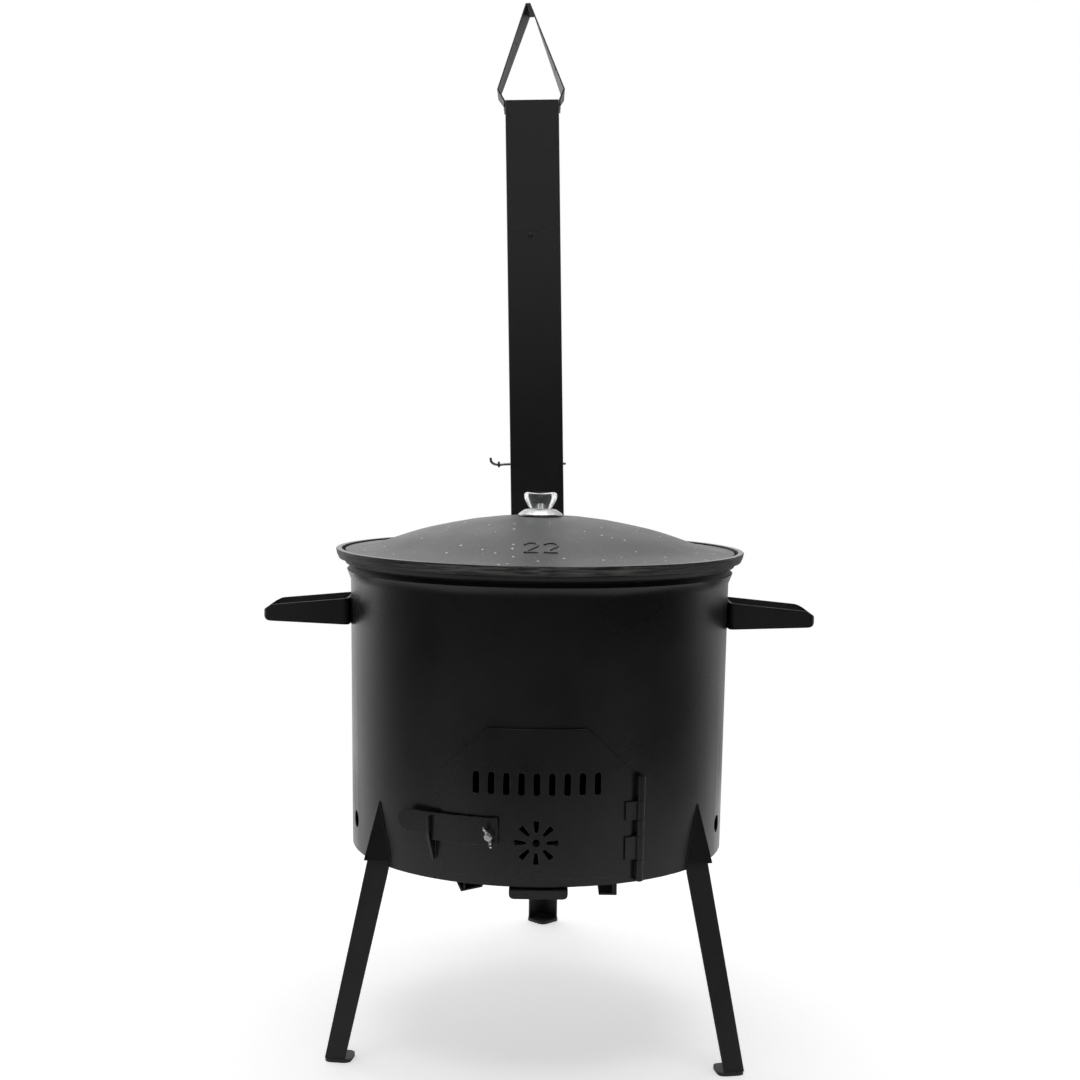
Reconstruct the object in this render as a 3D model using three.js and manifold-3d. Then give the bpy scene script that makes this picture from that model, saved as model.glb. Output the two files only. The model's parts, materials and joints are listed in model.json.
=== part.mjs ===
// Outdoor cauldron stove: a round fire drum on three splayed legs, with a cast cauldron,
// a hinged fire door with a drop latch, an ash slide and a two-piece chimney with a damper.
import * as THREE from 'three';
import { mergeVertices } from 'three/addons/utils/BufferGeometryUtils.js';
import Module from 'manifold-3d';

const wasm = await Module();
wasm.setup();

// Driving dimensions in millimetres and degrees.
// Heights count from the drum's lip, +Z is up, the front faces -Y, azimuths turn from the front towards +X.

// Common sheet, clearances and rounding
const sheet = 2;
const gap = 0.3;
const overrun = 6;
const weld = 0.0001;
const drumSteps = 72;
const castSteps = 64;
const rodSteps = 16;
const cornerSteps = 4;

// Drum shell
const lipRadius = 230;
const lipFlare = 4.7;
const flareHeight = 12;
const drumHeight = 327;
const drumTaper = 4.1;
const airHoleRadius = 10.2;
const airHoleAzimuth = 72;
const airHoleRise = 36;
const flueMouthWidth = 56;
const flueMouthTop = -58;
const flueMouthHeight = 80;

// Bottom plate, grate and ash slide
const bottomThickness = 3;
const ashHoleHalfWidth = 50;
const ashHoleLength = 120;
const grateMargin = 71;
const grateThickness = 6;
const grateFootHeight = 12;
const grateFootSize = 12;
const grateFootShares = [0.63, 0.47];
const grateSlotWidth = 9;
const grateSlotPitch = 23;
const grateBorder = 12;
const railOuterX = 90;
const railFlange = 20;
const leftRail = { side: -1, depth: 16.4, lean: 7.3, lift: 5.5, flange: 24 };
const rightRail = { side: 1, depth: 18.2, lean: 0, lift: 0, flange: 20 };
const railSetback = 39;
const railLength = 220;
const slidePlateLength = 185;
const tongueX = 3;
const tongueHalfWidth = 32;
const tongueReach = 4;
const tabDrop = 12;
const tabCorner = 6;

// Door, its vents and its opening
const doorHalfWidth = 104;
const doorRise = 9.3;
const doorHeight = 164.7;
const doorSideHeight = 117;
const doorChamferX = 54.8;
const doorOverlap = 14;
const doorStandoff = 0.5;
const ventCount = 9;
const ventWidth = 7;
const ventRise = 92.1;
const ventLength = 24.8;
const ventRowHalfWidth = 69.6;
const rosetteRise = 40.4;
const rosetteRadius = 24;
const rosettePetals = 8;
const petalLength = 13;
const petalWidth = 6.4;
const rosetteHubRadius = 4.5;

// Door hinge
const hingeOffset = 7;
const hingeRise = 110.1;
const barrelRadius = 4.75;
const pinRadius = 2.5;
const pinHead = 1;
const knuckleLengths = [28, 21, 18, 26, 24];
const knuckleGap = 0.4;
const leafReach = 17;

// Latch
const boltInset = 55;
const boltRise = 47.7;
const boltRadius = 3;
const boltHeadRadius = 6.5;
const boltHeadHeight = 3.4;
const boltTail = 2;
const washerRadius = 7;
const washerThickness = 1.4;
const leverEase = 63;
const leverTop = 19.2;
const leverBottom = -11.3;
const leverNose = 9;
const leverMainReach = 75;
const leverReach = 113;
const leverTabBottom = -5.4;
const leverCorner = 3;
const nutHubRadius = 5.4;
const nutCrownRadius = 4.4;
const nutHeight = 8;
const nutSpan = 13.2;
const nutWingRise = 12;
const nutWingThickness = 2.2;
const nutTurn = 22;
const keeperOffset = 7.6;
const keeperThickness = 3;
const keeperReach = 14;
const keeperProngInner = 9.6;
const keeperTop = 15.3;
const keeperHeel = 4;
const keeperFoot = 34;

// Legs
const leftLeg = { azimuth: -53.2, lean: 13.9, sway: 0, play: 0.5, footFlange: 23, padSize: 30 };
const rightLeg = { azimuth: 55.5, lean: 17.1, sway: -31, play: 1.6, footFlange: 23, padSize: 30 };
const rearLeg = { azimuth: 180, lean: 13.5, sway: 0, play: 0.5, footFlange: 29, padSize: 34.5, shift: 11 };
const socketRise = 7;
const socketHeight = 67;
const socketDepth = 21.5;
const legInsertion = 22;
const legFlangeTop = 27;
const legSheet = 2.5;
const groundClearance = 215;
const footCorner = 9;
const footThickness = 4;
const footMargin = 1;

// Carrying handles
const handleReach = 96;
const handleHalfSpread = 38;
const handleSheet = 3;
const handleRootTop = -34.5;
const handleRootBottom = -66;
const handleTipTop = -43;
const handleTipBottom = -62;
const handlePlanCorner = 12;
const handleNose = 8.5;
const handleNoseBack = 11;
const handleNoseDrop = 6;
const handleRootCorner = 8;
const handleSeat = 0.5;

// Smoke box and chimney
const boxHalfWidth = 39;
const boxDepth = 92;
const boxTop = -30;
const boxRise = 5;
const flueSize = 71;
const flueSheet = 1.5;
const flueCorner = 3;
const flueX = -2;
const flueSetback = 38.5;
const flueLean = 1.5;
const stubDip = 8;
const stubHeight = 182;
const spigotLength = 40;
const spigotStep = 1.8;
const lowerTubeLength = 274;
const upperTubeLength = 172;
const chimneyScrewX = -4.6;
const chimneyScrewDrop = 5;
const chimneyScrewRadius = 1.5;
const chimneyScrewHeadRadius = 3;
const chimneyScrewHead = 1.4;

// Damper
const damperDrop = 35;
const damperPlay = 2.5;
const damperSheet = 1.5;
const shaftRadius = 2.2;
const shaftHandle = 29;
const shaftTail = 4.6;
const shaftBend = 9.4;
const collarRadius = 4.4;
const collarWidth = 4;
const collarOut = 16;

// Hanging bail
const bailSheet = 2;
const bailWidth = 30;
const bailApex = 135.5;
const bailStations = [
  [-1, -0.06, 8, 0],
  [-1, 0.007, 8, 0],
  [-1.226, 0.108, 17.2, 1.7],
  [-0.117, 0.998, 23.1, 8.4],
  [0.049, 1, 22.5, 12.3],
  [1.155, 0.091, 20.8, -1.9],
  [1, 0.007, 8, 0],
  [1, -0.06, 8, 0],
];

// Cauldron
const bowlClearance = 4.3;
const bowlBrim = -6;
const bowlBottom = -200;
const castWall = 6;
const rimOverhang = 13;
const rimTop = 24.5;
const rimSeatWidth = 4.5;
const rimSeatInset = 1;
const rimLand = 6.5;
const rimCheekShares = [[-0.31, 0.19], [0.12, 0.31], [0.26, 0.46], [0.73, 0.55], [0.92, 0.76], [1, 0.97], [0.95, 1]];
const ledgeDraft = 1.8;
const ledgeStep = 1;
const ledgeHeight = 14;
const bowlSteps = 13;

// Lid and knob
const lidClearance = 2.7;
const lidEdgeTop = 23;
const lidRise = 41;
const lidWall = 4;
const lidFootWidth = 8;
const lidSteps = 14;
const lidCrownShares = [[0, 1], [0.28, 0.92], [0.55, 0.64], [0.69, 0.42], [0.82, 0.17], [0.93, 0.05], [1, 0]];
const knobScrewRadius = 3;
const knobScrewHeadRadius = 6;
const knobScrewHead = 4;
const knobBaseRadius = 26.5;
const knobBaseHeight = 8;
const knobRadius = 19.75;
const knobNeckRadius = 12.8;
const knobHeight = 19.5;
const knobBoreDepth = 6;
const knobSideShares = [[0.33, 0.17], [0.63, 0.36], [0.86, 0.55], [1, 0.77], [0.94, 0.89], [0.67, 0.97]];
const knobTopShares = [[0.74, 1], [0.5, 0.97], [0.25, 0.93]];

// Values that follow from the sizes above
const { degToRad, radToDeg } = THREE.MathUtils;
const root2 = Math.SQRT2;
const fit = gap + gap;
const neckRadius = lipRadius - lipFlare;
const baseRadius = neckRadius - drumTaper;
const bowlRadius = neckRadius - bowlClearance;
const rimRadius = lipRadius + rimOverhang;
const ledgeOuter = rimRadius - rimLand - ledgeDraft;
const lidRadius = ledgeOuter - lidClearance;
const handleTip = lipRadius + handleReach;
const boxRear = lipRadius + boxDepth;
const flueY = boxRear - flueSetback;
const drumBase = -drumHeight;
const floorHeight = drumBase - groundClearance;
const doorBottom = drumBase + doorRise;
const boltHeight = doorBottom + boltRise;
const socketMouth = drumBase + socketRise;
const socketApex = socketMouth + socketHeight;
const wallSlope = (neckRadius - baseRadius) / (drumHeight - flareHeight);
const wallRadius = (z) => neckRadius + wallSlope * (z + flareHeight);
const doorOuter = doorStandoff + sheet;
const drumTop = overrun;
const plateTop = drumBase + bottomThickness;
const damperHeight = stubHeight - damperDrop;
const azimuthAt = (x) => radToDeg(Math.asin(x / baseRadius));
const hingeAzimuth = azimuthAt(doorHalfWidth + hingeOffset);
const boltAzimuth = azimuthAt(boltInset - doorHalfWidth);
const keeperAzimuth = azimuthAt(-doorHalfWidth - keeperOffset);

// Materials
const paint = new THREE.MeshStandardMaterial({ color: 0x17181a, roughness: 0.6, metalness: 0.1 });
const fluePaint = new THREE.MeshStandardMaterial({ color: 0x1f2022, roughness: 0.65, metalness: 0.1 });
const castIron = new THREE.MeshStandardMaterial({ color: 0x161617, roughness: 0.5, metalness: 0.3 });
const lidGrey = new THREE.MeshStandardMaterial({ color: 0x5e5f61, roughness: 0.55, metalness: 0.2 });
const zinc = new THREE.MeshStandardMaterial({ color: 0xc9ccd0, roughness: 0.3, metalness: 0.95 });
const chrome = new THREE.MeshStandardMaterial({ color: 0xe2e4e6, roughness: 0.1, metalness: 1 });
const glass = new THREE.MeshStandardMaterial({ color: 0xe8eef0, roughness: 0.05, metalness: 0 });

const stove = new THREE.Group();

// Solids: closed geometries are welded, joined and cut here
function solidOf(shape) {
  if (!(shape instanceof THREE.BufferGeometry)) return shape;
  const bare = shape.clone();
  bare.deleteAttribute('normal');
  bare.deleteAttribute('uv');
  const merged = mergeVertices(bare, weld);
  const corners = merged.index.array;
  const faces = [];
  for (let i = 0; i < corners.length; i += 3) {
    const [a, b, c] = [corners[i], corners[i + 1], corners[i + 2]];
    if (a !== b && b !== c && c !== a) faces.push(a, b, c);
  }
  return new wasm.Manifold(new wasm.Mesh({
    numProp: 3,
    vertProperties: new Float32Array(merged.attributes.position.array),
    triVerts: new Uint32Array(faces),
  }));
}

function join(first, ...others) {
  return others.reduce((total, other) => total.add(solidOf(other)), solidOf(first));
}

function cut(first, ...others) {
  return others.reduce((total, other) => total.subtract(solidOf(other)), solidOf(first));
}

function common(first, second) {
  return solidOf(first).intersect(solidOf(second));
}

function piece(name, shape, material) {
  const { vertProperties, triVerts } = solidOf(shape).getMesh();
  const geometry = new THREE.BufferGeometry();
  geometry.setAttribute('position', new THREE.BufferAttribute(vertProperties, 3));
  geometry.setIndex(new THREE.BufferAttribute(triVerts, 1));
  geometry.computeVertexNormals();
  const mesh = new THREE.Mesh(geometry, material);
  mesh.name = name;
  stove.add(mesh);
  return mesh;
}

// Basic forms
const point = ([x, y]) => new THREE.Vector2(x, y);
const polygon = (corners) => new THREE.Shape(corners.map(point));

function turned(profile, steps = rodSteps) {
  return new THREE.LatheGeometry(profile.map(point), steps).rotateX(Math.PI / 2);
}

function ring(profile, steps) {
  return turned([...profile, profile[0]], steps);
}

function rod(radius, low, high, steps = rodSteps) {
  return turned([[0, low], [radius, low], [radius, high], [0, high]], steps);
}

function sleeve(inner, outer, low, high, steps = rodSteps) {
  return ring([[inner, low], [outer, low], [outer, high], [inner, high]], steps);
}

function block(x0, x1, y0, y1, z0, z1) {
  const box = new THREE.BoxGeometry(x1 - x0, y1 - y0, z1 - z0);
  return box.translate((x0 + x1) / 2, (y0 + y1) / 2, (z0 + z1) / 2);
}

function raised(shape, low, high, curveSegments = cornerSteps) {
  const solid = new THREE.ExtrudeGeometry(shape, { depth: high - low, bevelEnabled: false, curveSegments });
  return solid.translate(0, 0, low);
}

// An outline drawn in X and Z, carried along Y
function frontal(shape, front, rear, curveSegments) {
  return raised(shape, -rear, -front, curveSegments).rotateX(Math.PI / 2);
}

// Corners given as x, y and a rounding reach
function rounded(corners) {
  const shape = new THREE.Shape();
  corners.forEach(([x, y, reach = 0], i) => {
    const here = point([x, y]);
    const before = point(corners.at(i - 1));
    const after = point(corners[(i + 1) % corners.length]);
    const arrive = here.clone().lerp(before, reach / here.distanceTo(before));
    const leave = here.clone().lerp(after, reach / here.distanceTo(after));
    if (i === 0) shape.moveTo(arrive.x, arrive.y);
    else shape.lineTo(arrive.x, arrive.y);
    if (reach > 0) shape.quadraticCurveTo(x, y, leave.x, leave.y);
  });
  return shape;
}

// A strip of even thickness along an open line of points
function ribbon(points, thickness) {
  const normals = points.map((p, i) => {
    const ahead = points[Math.min(i + 1, points.length - 1)].clone().sub(p);
    const behind = p.clone().sub(points[Math.max(i - 1, 0)]);
    const a = (ahead.length() ? ahead : behind).clone().normalize();
    const b = (behind.length() ? behind : ahead).clone().normalize();
    const mitre = new THREE.Vector2(-a.y - b.y, a.x + b.x).normalize();
    return mitre.multiplyScalar(thickness / 2 / Math.abs(mitre.dot(new THREE.Vector2(-a.y, a.x))));
  });
  const left = points.map((p, i) => p.clone().add(normals[i]));
  const right = points.map((p, i) => p.clone().sub(normals[i]));
  return new THREE.Shape([...left, ...right.reverse()]);
}

function facets(positions, faces) {
  const geometry = new THREE.BufferGeometry();
  geometry.setAttribute('position', new THREE.Float32BufferAttribute(positions, 3));
  return geometry.setIndex(faces);
}

// Two like outlines at two heights, joined by straight sides
function loft(lower, z0, upper, z1) {
  const count = lower.length;
  const caps = THREE.ShapeUtils.triangulateShape(lower.map(point), []);
  const positions = [...lower.map(([x, y]) => [x, y, z0]), ...upper.map(([x, y]) => [x, y, z1])].flat();
  const faces = caps.flatMap(([a, b, c]) => [a, c, b, a + count, b + count, c + count]);
  for (let i = 0; i < count; i += 1) {
    const next = (i + 1) % count;
    faces.push(i, next, next + count, i, next + count, i + count);
  }
  return facets(positions, faces);
}

// A flat strip bent through places in space, each with its own vector across the strip
function bentStrip(stations, thickness) {
  const last = stations.length - 1;
  const positions = stations.flatMap(({ place, across }, i) => {
    const ahead = stations[Math.min(i + 1, last)].place.clone().sub(place).normalize();
    const behind = place.clone().sub(stations[Math.max(i - 1, 0)].place).normalize();
    const through = across.clone().cross(ahead.add(behind)).setLength(thickness);
    return [[0.5, 0.5], [-0.5, 0.5], [-0.5, -0.5], [0.5, -0.5]].flatMap(([a, b]) => (
      place.clone().addScaledVector(across, a).addScaledVector(through, b).toArray()
    ));
  });
  const end = 4 * last;
  const faces = [0, 1, 2, 0, 2, 3, end, end + 2, end + 1, end, end + 3, end + 2];
  for (let i = 0; i < end; i += 4) {
    for (let side = 0; side < 4; side += 1) {
      const a = i + side;
      const b = i + (side + 1) % 4;
      faces.push(a, b + 4, b, a, a + 4, b + 4);
    }
  }
  return facets(positions, faces);
}

// Places on the drum's wall
function wallFrame(azimuth, z, offset = 0) {
  const turn = degToRad(azimuth);
  const outward = new THREE.Vector3(Math.sin(turn), -Math.cos(turn), 0);
  const tangent = new THREE.Vector3(Math.cos(turn), Math.sin(turn), 0);
  const up = new THREE.Vector3(0, 0, 1).addScaledVector(outward, wallSlope).normalize();
  const normal = tangent.clone().cross(up);
  const origin = outward.clone().multiplyScalar(wallRadius(z)).setZ(z).addScaledVector(normal, offset);
  return { tangent, up, normal, origin };
}

// X along the wall, Y up the wall, Z straight out of it
function onWall({ tangent, up, normal, origin }) {
  return new THREE.Matrix4().makeBasis(tangent, up, normal).setPosition(origin);
}

// X straight out of the wall, Y up it, thickness along it
function acrossWall({ tangent, up, normal, origin }) {
  return new THREE.Matrix4().makeBasis(normal, up, tangent.clone().negate()).setPosition(origin);
}

function outwards(azimuth) {
  return new THREE.Matrix4().makeRotationZ(degToRad(azimuth - 90));
}

// A curved sheet that follows the wall between two distances from it
function wallSheet(inner, outer, low, high) {
  return ring([
    [wallRadius(low) + inner, low],
    [wallRadius(low) + outer, low],
    [wallRadius(high) + outer, high],
    [wallRadius(high) + inner, high],
  ], drumSteps);
}

// The whole drum with its running gap, taken off whatever stands against it
const drumCore = turned([
  [0, floorHeight],
  [wallRadius(floorHeight) + gap, floorHeight],
  [wallRadius(drumTop) + gap, drumTop],
  [0, drumTop],
], drumSteps);

// Drum shell with its flared lip, door opening, air holes and flue mouth
function doorOutline(inset) {
  const side = doorHalfWidth - inset;
  const chamfer = doorChamferX - inset / 2;
  const shoulder = doorBottom + doorSideHeight - inset / 2;
  const top = doorBottom + doorHeight - inset;
  const low = doorBottom + inset;
  return polygon([[side, low], [side, shoulder], [chamfer, top], [-chamfer, top], [-side, shoulder], [-side, low]]);
}

function drumShell() {
  const wall = ring([
    [baseRadius, drumBase],
    [neckRadius, -flareHeight],
    [lipRadius, 0],
    [lipRadius - sheet, 0],
    [neckRadius - sheet, -flareHeight],
    [baseRadius - sheet, drumBase],
  ], drumSteps);
  const airHoles = [-1, 1].map((side) => (
    rod(airHoleRadius, -overrun, overrun)
      .applyMatrix4(onWall(wallFrame(side * airHoleAzimuth, drumBase + airHoleRise)))
  ));
  const flueMouth = block(-flueMouthWidth / 2, flueMouthWidth / 2, 0, boxRear, flueMouthTop - flueMouthHeight,
    flueMouthTop);
  return cut(wall, frontal(doorOutline(doorOverlap), -rimRadius, 0), ...airHoles, flueMouth);
}

piece('body_shell', drumShell(), paint);

// Bottom plate, grate, rails and ash slide
const grateRadius = baseRadius - grateMargin;
const railFront = railSetback - baseRadius;

function bottomPlate() {
  const radius = baseRadius - sheet - gap;
  const plate = rod(radius, drumBase, plateTop, drumSteps);
  return cut(plate, block(-ashHoleHalfWidth, ashHoleHalfWidth, -grateRadius, ashHoleLength - grateRadius,
    drumBase - overrun, plateTop + overrun));
}

function fireGrate() {
  const disc = new THREE.Shape().absarc(0, 0, grateRadius, 0, 2 * Math.PI);
  const reach = grateRadius - grateBorder;
  const count = Math.floor((reach - grateSlotWidth) / grateSlotPitch);
  for (let i = -count; i <= count; i += 1) {
    const x0 = i * grateSlotPitch - grateSlotWidth / 2;
    const x1 = x0 + grateSlotWidth;
    const end = Math.sqrt(reach ** 2 - Math.max(x0 ** 2, x1 ** 2));
    disc.holes.push(polygon([[x0, -end], [x1, -end], [x1, end], [x0, end]]));
  }
  const low = plateTop + grateFootHeight;
  const half = grateFootSize / 2;
  const [outX, outY] = grateFootShares.map((share) => share * grateRadius);
  const feet = [-outX, outX].flatMap((x) => [-outY, outY].map((y) => (
    block(x - half, x + half, y - half, y + half, plateTop + gap, low + grateThickness / 2)
  )));
  return join(raised(disc, low, low + grateThickness, drumSteps / 3), ...feet);
}

function ashRail({ side, depth, lean, lift, flange }) {
  const top = drumBase - gap;
  const inner = railOuterX - railFlange;
  const foot = railOuterX - lean;
  const section = polygon([
    [side * inner, top],
    [side * railOuterX, top],
    [side * foot, top - depth],
    [side * (foot - flange), top - depth + lift],
    [side * (foot - flange), top - depth + lift + sheet],
    [side * (foot - sheet), top - depth + sheet],
    [side * (railOuterX - sheet), top - sheet],
    [side * inner, top - sheet],
  ]);
  return frontal(section, railFront, railFront + railLength);
}

function slideSkirt({ depth, lean, lift, flange }) {
  const out = railOuterX - lean - sheet - fit;
  const rise = (lift * (sheet + fit + sheet)) / flange;
  return [out, drumBase - gap - depth + sheet + rise + gap];
}

function ashSlide() {
  const [left, leftLow] = slideSkirt(leftRail);
  const [right, rightLow] = slideSkirt(rightRail);
  const top = drumBase - gap - sheet - gap;
  const front = -baseRadius - tongueReach;
  const section = polygon([
    [-left, leftLow], [-left, top], [right, top], [right, rightLow],
    [right - sheet, rightLow], [right - sheet, top - sheet], [sheet - left, top - sheet], [sheet - left, leftLow],
  ]);
  const plate = frontal(section, railFront, railFront + slidePlateLength);
  const near = tongueX - tongueHalfWidth;
  const far = tongueX + tongueHalfWidth;
  const tongue = block(near, far, front, railFront + overrun, top - sheet, top);
  const tab = frontal(rounded([
    [near, top],
    [near, drumBase - tabDrop, tabCorner],
    [far, drumBase - tabDrop, tabCorner],
    [far, top],
  ]), front, front + sheet);
  return join(plate, tongue, tab);
}

piece('bottom_plate', bottomPlate(), paint);
piece('grate', fireGrate(), castIron);
piece('ash_rail_left', ashRail(leftRail), paint);
piece('ash_rail_right', ashRail(rightRail), paint);
piece('ash_slide', ashSlide(), paint);

// Fire door with a row of vent slots and a round vent
const boltPlace = onWall(wallFrame(boltAzimuth, boltHeight));

function doorPanel() {
  const outline = doorOutline(0);
  const ventBottom = doorBottom + ventRise;
  const ventTop = ventBottom + ventLength;
  const rosetteHeight = doorBottom + rosetteRise;
  const pitch = (2 * ventRowHalfWidth - ventWidth) / (ventCount - 1);
  for (let i = 0; i < ventCount; i += 1) {
    const x = -ventRowHalfWidth + i * pitch;
    const reach = ventWidth / 2;
    outline.holes.push(rounded([
      [x, ventBottom, reach], [x + ventWidth, ventBottom, reach],
      [x + ventWidth, ventTop, reach], [x, ventTop, reach],
    ]));
  }
  for (let i = 0; i < rosettePetals; i += 1) {
    const turn = (2 * Math.PI * i) / rosettePetals;
    const place = ([along, across]) => [
      along * Math.sin(turn) + across * Math.cos(turn),
      rosetteHeight + along * Math.cos(turn) - across * Math.sin(turn),
    ];
    const root = rosetteRadius - petalLength;
    const corners = [
      [root, -petalWidth / 4], [root, petalWidth / 4], [rosetteRadius, petalWidth / 2], [rosetteRadius, -petalWidth / 2],
    ];
    outline.holes.push(rounded(corners.map((corner) => [...place(corner), petalWidth / 4])));
  }
  outline.holes.push(new THREE.Path().absarc(0, rosetteHeight, rosetteHubRadius, 0, 2 * Math.PI));
  const curved = common(
    wallSheet(doorStandoff, doorOuter, doorBottom - overrun, doorBottom + doorHeight + overrun),
    frontal(outline, -rimRadius, 0),
  );
  return cut(curved, rod(boltRadius + gap, -overrun, overrun).applyMatrix4(boltPlace));
}

piece('door_panel', doorPanel(), paint);

// Hinge: barrels in turn on the drum and on the door, round one pin
const hingeTop = doorBottom + hingeRise;
const hingeFrame = wallFrame(hingeAzimuth, hingeTop, barrelRadius + gap);
const hingePlace = onWall(hingeFrame).multiply(new THREE.Matrix4().makeRotationX(-Math.PI / 2));
const hingeLength = knuckleLengths.reduce((sum, length) => sum + length, 0);
const barrelX = hingeFrame.origin.x;

function knuckle(index) {
  const above = knuckleLengths.slice(0, index).reduce((sum, length) => sum + length, 0);
  const high = -above - knuckleGap / 2;
  const low = -above - knuckleLengths[index] + knuckleGap / 2;
  const barrel = rod(barrelRadius, low, high).applyMatrix4(hingePlace);
  const bore = rod(pinRadius + gap, low - overrun, high + overrun).applyMatrix4(hingePlace);
  if (index % 2 === 0) return cut(barrel, bore);
  const leafLow = hingeTop + low;
  const leafHigh = hingeTop + high;
  const leaf = common(
    wallSheet(doorOuter + gap, doorOuter + gap + sheet, leafLow, leafHigh),
    block(barrelX - leafReach, barrelX, -rimRadius, 0, leafLow - overrun, leafHigh + overrun),
  );
  return cut(join(barrel, leaf), bore);
}

piece('hinge_knuckle_top', knuckle(0), paint);
piece('door_knuckle_upper', knuckle(1), paint);
piece('hinge_knuckle_middle', knuckle(2), paint);
piece('door_knuckle_lower', knuckle(3), paint);
piece('hinge_knuckle_bottom', knuckle(4), paint);
piece('hinge_pin', rod(pinRadius, -hingeLength - pinHead, pinHead).applyMatrix4(hingePlace), zinc);

// Latch: bolt, washer, curved lever, wing nut, and the keeper on the drum
const leverBend = baseRadius + leverEase;
const leverInner = doorOuter + gap + washerThickness + gap;
const leverOuter = leverInner + sheet;
const nutBase = leverOuter + gap;
const boltHeadTop = doorStandoff - gap;

function latchBolt() {
  const end = nutBase + nutHeight + boltTail;
  return turned([
    [0, boltHeadTop - boltHeadHeight],
    [boltHeadRadius / 2, boltHeadTop - boltHeadHeight],
    [boltHeadRadius, boltHeadTop - boltHeadHeight / 3],
    [boltHeadRadius, boltHeadTop],
    [boltRadius, boltHeadTop],
    [boltRadius, end],
    [0, end],
  ]).applyMatrix4(boltPlace);
}

function latchLever() {
  const bent = (s) => -leverBend * Math.sin(s / leverBend);
  const tabRadius = (leverTop - leverTabBottom) / 2;
  const outline = new THREE.Shape();
  outline.moveTo(bent(-leverNose), leverBottom + leverCorner);
  outline.quadraticCurveTo(bent(-leverNose), leverBottom, bent(leverCorner - leverNose), leverBottom);
  outline.lineTo(bent(leverMainReach), leverBottom);
  outline.lineTo(bent(leverMainReach), leverTabBottom);
  outline.lineTo(bent(leverReach - tabRadius), leverTabBottom);
  outline.absarc(bent(leverReach - tabRadius), leverTabBottom + tabRadius, tabRadius, -Math.PI / 2, Math.PI / 2, true);
  outline.lineTo(bent(leverCorner - leverNose), leverTop);
  outline.quadraticCurveTo(bent(-leverNose), leverTop, bent(-leverNose), leverTop - leverCorner);
  const tall = leverTop - leverBottom;
  const band = sleeve(leverBend, leverBend + sheet, -tall, tall, drumSteps).rotateX(-Math.PI / 2);
  band.translate(0, 0, leverInner - leverBend);
  const prism = raised(outline, -leverReach, tall, 2 * cornerSteps);
  const plate = common(band, prism);
  const hole = rod(boltRadius + gap, -overrun, tall);
  return cut(plate, hole);
}

function placedLever() {
  return latchLever().transform(boltPlace.elements);
}

function wingNut() {
  const bore = rod(boltRadius + gap, nutBase - overrun, nutBase + nutWingRise);
  const hub = ring([
    [boltRadius / 2, nutBase],
    [nutHubRadius, nutBase],
    [nutCrownRadius, nutBase + nutHeight],
    [boltRadius / 2, nutBase + nutHeight],
  ], rodSteps);
  const wing = frontal(rounded([
    [-nutHubRadius / 2, nutBase + nutHeight / 5],
    [nutHubRadius / 2, nutBase + nutHeight / 5],
    [nutSpan, nutBase + nutHeight / 2, nutHeight / 4],
    [nutSpan, nutBase + nutWingRise, nutHeight / 4],
    [nutSpan * 0.6, nutBase + nutWingRise, nutHeight / 4],
    [nutCrownRadius / 2, nutBase + nutHeight * 0.8],
    [-nutCrownRadius / 2, nutBase + nutHeight * 0.8],
    [-nutSpan * 0.6, nutBase + nutWingRise, nutHeight / 4],
    [-nutSpan, nutBase + nutWingRise, nutHeight / 4],
    [-nutSpan, nutBase + nutHeight / 2, nutHeight / 4],
  ]), -nutWingThickness / 2, nutWingThickness / 2);
  const turn = new THREE.Matrix4().makeRotationZ(degToRad(90 + nutTurn));
  return cut(join(hub, wing), bore).transform(boltPlace.clone().multiply(turn).elements);
}

function latchKeeper() {
  const slotFloor = leverBottom - fit;
  const outline = rounded([
    [-overrun, -keeperFoot],
    [keeperHeel, -keeperFoot],
    [keeperReach, leverTabBottom, keeperHeel],
    [keeperReach, keeperTop, keeperHeel / 2],
    [keeperProngInner, keeperTop, keeperHeel / 4],
    [keeperProngInner, slotFloor],
    [-overrun, slotFloor],
  ]);
  const plate = raised(outline, -keeperThickness / 2, keeperThickness / 2);
  return cut(plate.applyMatrix4(acrossWall(wallFrame(keeperAzimuth, boltHeight))), drumCore);
}

piece('latch_bolt', latchBolt(), zinc);
piece('latch_washer', sleeve(boltRadius + gap, washerRadius, doorOuter + gap, doorOuter + gap + washerThickness)
  .applyMatrix4(boltPlace), zinc);
piece('latch_lever', placedLever(), paint);
piece('wing_nut', wingNut(), zinc);
piece('latch_keeper', latchKeeper(), paint);

// Smoke box behind the drum; the chimney stands in its top plate and leans slightly to the left
const flueFrame = new THREE.Matrix4().makeTranslation(flueX, flueY, boxTop)
  .multiply(new THREE.Matrix4().makeRotationY(-degToRad(flueLean)));
const alongX = new THREE.Matrix4().makeRotationY(Math.PI / 2);

function squareOutline(half, corner) {
  return rounded([[half, -half, corner], [half, half, corner], [-half, half, corner], [-half, -half, corner]]);
}

function squareTube(outer, inner, low, high) {
  const outline = squareOutline(outer / 2, flueCorner);
  outline.holes.push(squareOutline(inner / 2, flueCorner / 2));
  return raised(outline, low, high);
}

const flueInner = flueSize - 2 * flueSheet;
const spigotOuter = flueSize - 2 * spigotStep;
const spigotInner = spigotOuter - 2 * flueSheet;
const screwHeight = stubHeight + gap + lowerTubeLength - chimneyScrewDrop;
const tubeTop = stubHeight + gap + lowerTubeLength + gap + upperTubeLength;

// Round bars that cross the flue: the damper shaft and the joint screw
function shaftBar(radius, low, high) {
  return rod(radius, low, high).applyMatrix4(alongX).translate(0, 0, damperHeight);
}

function screwBar(radius, from, to) {
  const bar = rod(radius, from, to).rotateX(Math.PI / 2);
  return bar.translate(chimneyScrewX, -flueSize / 2, screwHeight);
}

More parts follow.
